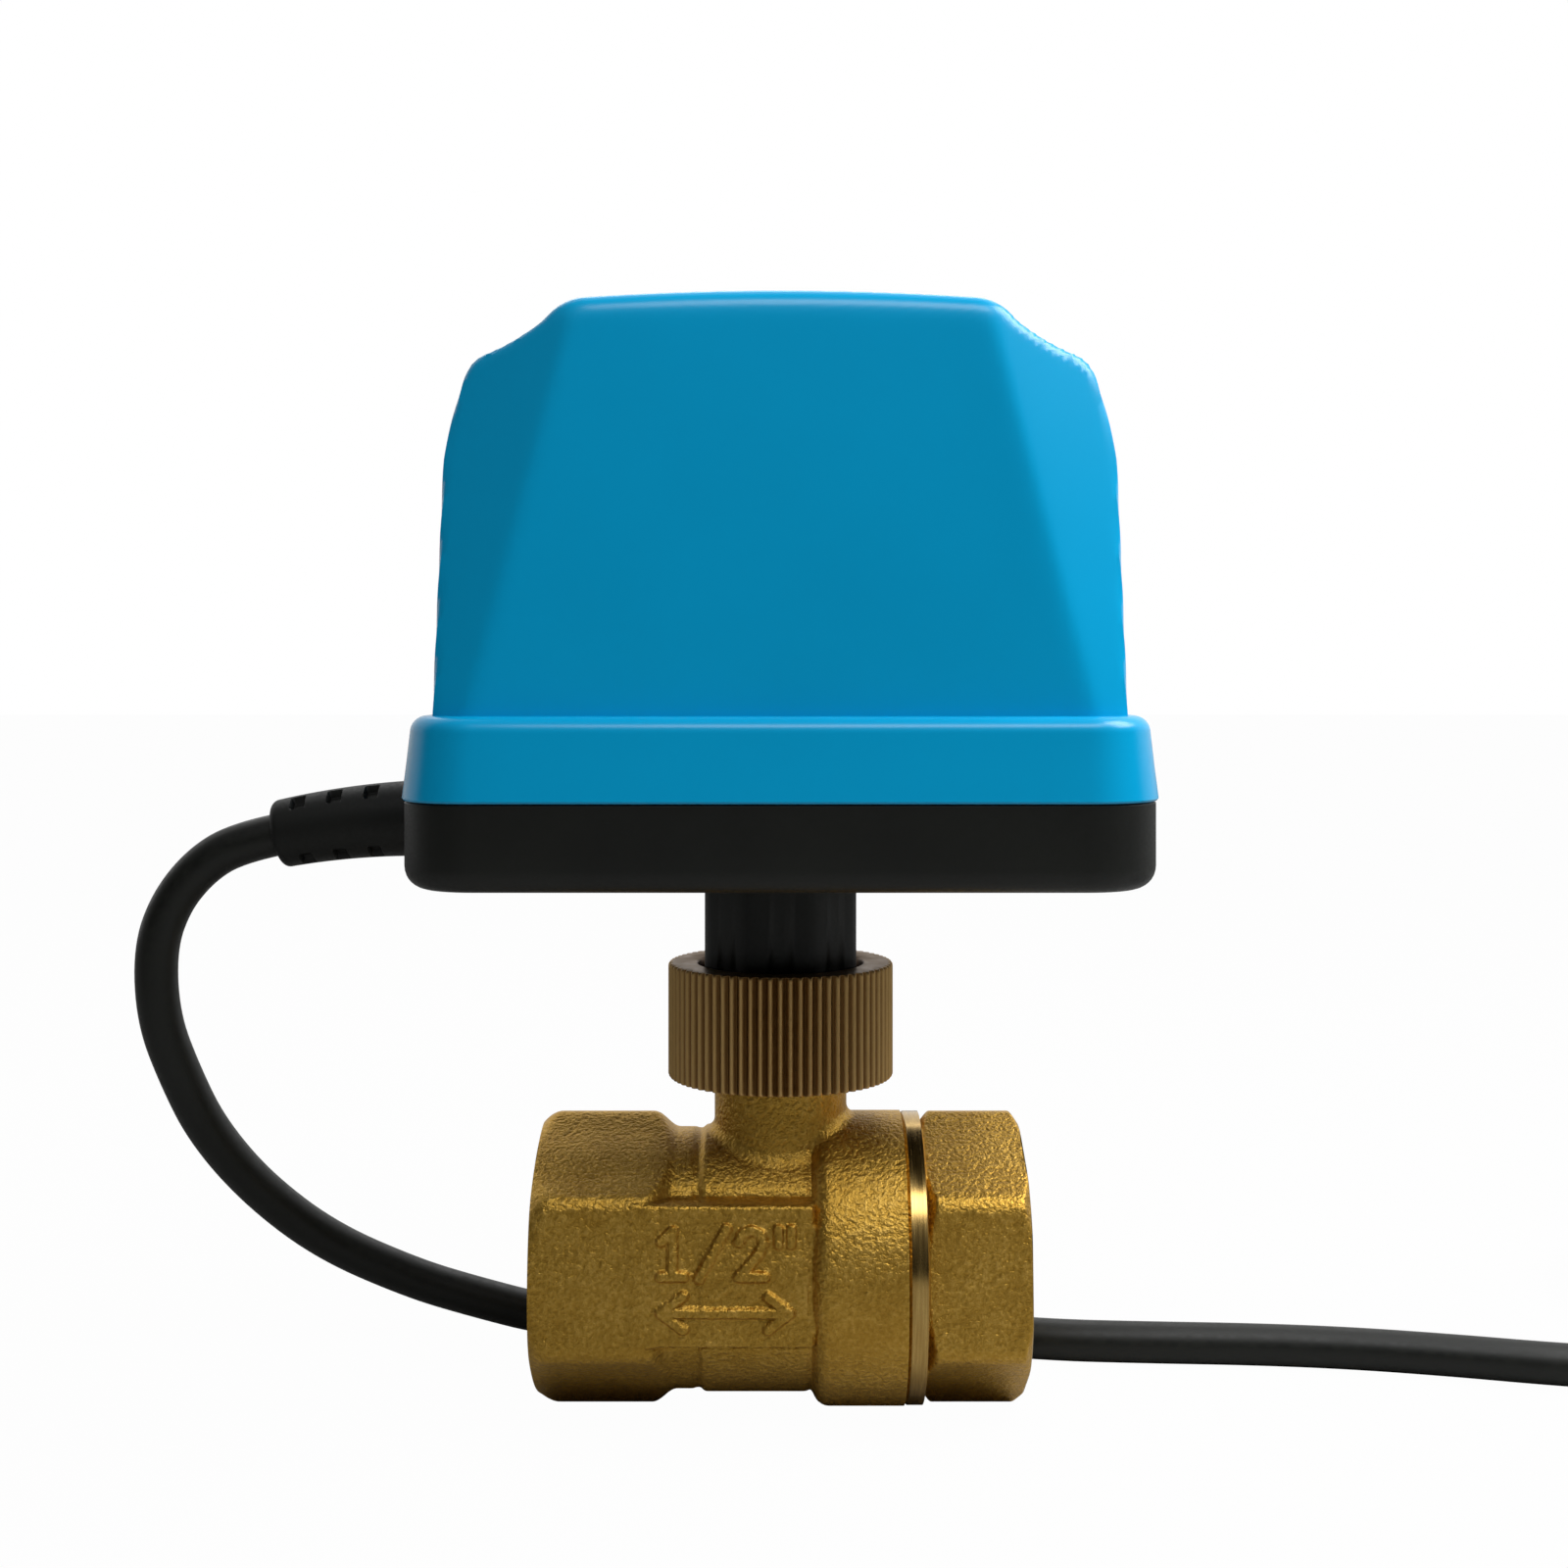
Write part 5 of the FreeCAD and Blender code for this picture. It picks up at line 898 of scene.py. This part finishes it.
def surroundings(scene, kit):
    """White to the camera and in clear glass. Polished parts mirror white only from behind the
    valve, and the rest is a dim dome that is brighter overhead."""
    world = scene.world or bpy.data.worlds.new("studio")
    scene.world = world
    world.use_nodes = True
    tree = world.node_tree
    tree.nodes.clear()
    direction = add_node(tree, "TexCoord", output="Generated")
    axes = add_node(tree, "SeparateXYZ", {"Vector": direction}).node.outputs
    height, behind = (
        add_node(tree, "MapRange", {"Value": axes[axis], "From Min": low, "From Max": high},
                 interpolation_type="SMOOTHSTEP")
        for axis, low, high in (("Z", 0.05, 0.75), ("Y", 0.0, 0.3)))
    dome = add_node(tree, "Math", {0: height, 1: kit.fill, 2: 0.02}, operation="MULTIPLY_ADD")
    rays = add_node(tree, "LightPath").node.outputs
    total = add_node(tree, "Math", {0: rays["Is Glossy Ray"], 1: behind}, operation="MULTIPLY")
    for other in (rays["Is Camera Ray"], rays["Is Transmission Ray"], dome):
        total = add_node(tree, "Math", {0: total, 1: other}, operation="MAXIMUM")
    back = add_node(tree, "Background", {"Color": linear("#FFFFFF"), "Strength": total})
    add_node(tree, "OutputWorld", {"Surface": back})


class VALVE_OT_stage(Operator):
    """Sets up the floor, the light and the camera"""
    bl_idname = "valve.stage"
    bl_label = "Stage"

    def execute(self, context):
        scene, kit = context.scene, context.scene.valve_stage
        scene.view_settings.view_transform = "Standard"
        floor = bpy.data.meshes.new("floor")
        corners = [(sx * FLOOR_REACH, sy * FLOOR_REACH, FLOOR_Z * MM)
                   for sx, sy in ((-1, -1), (1, -1), (1, 1), (-1, 1))]
        floor.from_pydata(corners, [], [(0, 1, 2, 3)])
        floor.materials.append(pale_floor())
        linked("floor", floor)
        surroundings(scene, kit)
        for name, (place, target, size, power) in LAMPS.items():
            light = bpy.data.lights.new(name, "AREA")
            light.shape, light.energy = "RECTANGLE", getattr(kit, power)
            light.size, light.size_y = size
            lamp = linked(name, light)
            start, end = np.array(place) + BALL, np.array(target) + BALL
            lamp.location = start
            lamp.rotation_euler = Vector(end - start).to_track_quat("-Z", "Y").to_euler()
        lens = bpy.data.cameras.new("camera")
        lens.lens, lens.sensor_width = kit.lens, 36.0
        lens.shift_y, lens.clip_start = kit.fall, 0.01
        camera = linked("camera", lens)
        camera.location = (BALL[0] + 0.00045, -kit.distance, kit.height)
        camera.rotation_euler = (math.pi / 2, 0, 0)
        scene.camera = camera
        return {"FINISHED"}


# Pieces

class VALVE_OT_cast_body(Operator):
    """Builds the cast valve body with its neck and marking pad"""
    bl_idname = "valve.cast_body"
    bl_label = "Cast body"

    def execute(self, context):
        piece = make_cast_body(context.scene.valve_body)
        middle, normal = face_middles(piece)
        reach = np.hypot(middle[:, 1], middle[:, 2])
        face = (middle[:, 0] < BODY_LOW[0] + 0.15) & (normal[:, 0] < -0.8)
        bore = (reach < 13.6) & (np.hypot(middle[:, 0], middle[:, 1]) > 8.0) & (middle[:, 2] < 13.6)
        thread = middle[:, 2] > 23.9
        finished(piece, "valve", "cast_brass", "valve_body", [sand_cast_brass(), turned_brass()],
                 face | bore | thread)
        return {"FINISHED"}


class VALVE_OT_tail_piece(Operator):
    """Builds the tail piece with its collar, hexagon and port thread"""
    bl_idname = "valve.tail_piece"
    bl_label = "Tail piece"

    def execute(self, context):
        piece = make_tail(context.scene.valve_body)
        middle, _ = face_middles(piece)
        reach = np.hypot(middle[:, 1], middle[:, 2])
        worked = (middle[:, 0] < 18.0) | (reach < 14.4) | (middle[:, 0] > TAIL_HIGH[0] - 0.1)
        cast = bpy.data.materials.get("sand_cast_brass") or sand_cast_brass()
        bright = bpy.data.materials.get("lathe_turned_brass") or turned_brass()
        finished(piece, "valve", "cast_brass", "tail_piece", [cast, bright], worked)
        return {"FINISHED"}


class VALVE_OT_union_nut(Operator):
    """Builds the knurled union nut"""
    bl_idname = "valve.union_nut"
    bl_label = "Union nut"

    def execute(self, context):
        piece = make_nut(context.scene.valve_body)
        finished(piece, "nut", "nut_brass", "union_nut", [nut_brass_painted_shade()], crease=50.0)
        return {"FINISHED"}


class VALVE_OT_base(Operator):
    """Builds the black base tray with its octagon neck"""
    bl_idname = "valve.base"
    bl_label = "Base tray"

    def execute(self, context):
        piece = make_base(context.scene.valve_housing)
        # ABS moulded in a spark-eroded tool: black, satin and finely pitted.
        black = moulded_plastic("moulded_black_abs", "#0D0F0C", "#141612", (0.42, 0.52), 0.45,
                                0.008, 0.3)
        finished(piece, "valve", "black_abs", "base_housing", [black])
        return {"FINISHED"}


class VALVE_OT_cover(Operator):
    """Builds the blue cover with its facets and skirt"""
    bl_idname = "valve.cover"
    bl_label = "Cover"

    def execute(self, context):
        kit = context.scene.valve_housing
        finished(make_cover(kit), "valve", "blue_abs", "cover", [glossy_blue_abs(kit)], crease=38.0)
        return {"FINISHED"}


class VALVE_OT_boot(Operator):
    """Builds the rubber strain relief"""
    bl_idname = "valve.boot"
    bl_label = "Strain relief"

    def execute(self, context):
        # Rubber moulded in a blasted tool: black and matt.
        rubber = moulded_plastic("moulded_boot_rubber", "#0B0C0A", "#131411", (0.5, 0.62), 0.5,
                                 0.008, 0.25)
        finished(make_boot(), "valve", "boot_rubber", "strain_relief", [rubber], crease=40.0)
        return {"FINISHED"}


class VALVE_OT_cable(Operator):
    """Builds the cable with its coil and the three cores at its end"""
    bl_idname = "valve.cable"
    bl_label = "Cable"

    def execute(self, context):
        kit, nodes = context.scene.valve_cord, frame["nodes"]
        points = cable_points(kit)
        jacket = cord_jacket("extruded_pvc_jacket", "#0A0C08", "#13150F")
        cable = spline_piece("cable_jacket", points, kit.diameter, jacket)
        declared(cable, "valve", "black_pvc", "cable", "cable_coil")
        tints = (("#4A2C18", "#5C3A22"), ("#1E4E93", "#2A61AC"), ("#5B7A2A", "#86A035"))
        for k, (route, tint) in enumerate(zip(core_points(points[-1], kit), tints)):
            insulation = cord_jacket(f"extruded_core_insulation_{k + 1}", *tint)
            core = spline_piece(f"cable_core_{k + 1}", route, kit.core, insulation)
            declared(core, "valve", "core_insulation", "lead_wires")
        return {"FINISHED"}


class VALVE_OT_inner_finishes(Operator):
    """Gives every CAD node that still shows its own finish"""
    bl_idname = "valve.inner_finishes"
    bl_label = "Finishes"

    def execute(self, context):
        by_slot = finishes()
        for part in frame["record"]["subparts"]:
            node = frame["nodes"][part["node"]]
            if node.hide_render:
                continue
            if part["material_slot"] not in by_slot or not node.material_slots:
                raise RuntimeError(f"no finish or no slot for {part['node']}")
            for slot in node.material_slots:
                slot.material = by_slot[part["material_slot"]]
        return {"FINISHED"}


class VALVE_PT_panel(Panel):
    """Lists the steps"""
    bl_idname = "VALVE_PT_panel"
    bl_label = "Motorized Valve"
    bl_space_type = "VIEW_3D"
    bl_region_type = "UI"
    bl_category = "Valve"

    def draw(self, context):
        for step in STEPS:
            self.layout.operator(step.bl_idname)
        for name, group in SETTINGS.items():
            box = self.layout.box()
            for key in group.__annotations__:
                box.prop(getattr(context.scene, name), key)


STEPS = (VALVE_OT_stage, VALVE_OT_cast_body, VALVE_OT_tail_piece, VALVE_OT_union_nut, VALVE_OT_base,
         VALVE_OT_cover, VALVE_OT_boot, VALVE_OT_cable, VALVE_OT_inner_finishes)
SETTINGS = {"valve_stage": ValveStageSettings, "valve_body": ValveBodySettings,
            "valve_housing": ValveHousingSettings, "valve_cord": ValveCordSettings}


def register():
    for group in SETTINGS.values():
        bpy.utils.register_class(group)
    for name, group in SETTINGS.items():
        setattr(bpy.types.Scene, name, PointerProperty(type=group))
    for step in (*STEPS, VALVE_PT_panel):
        bpy.utils.register_class(step)


def unregister():
    for step in (VALVE_PT_panel, *reversed(STEPS)):
        bpy.utils.unregister_class(step)
    for name, group in SETTINGS.items():
        delattr(bpy.types.Scene, name)
        bpy.utils.unregister_class(group)


def main():
    register()
    for step in STEPS:
        family, name = step.bl_idname.split(".")
        getattr(getattr(bpy.ops, family), name)()


if __name__ == "__main__":
    main()
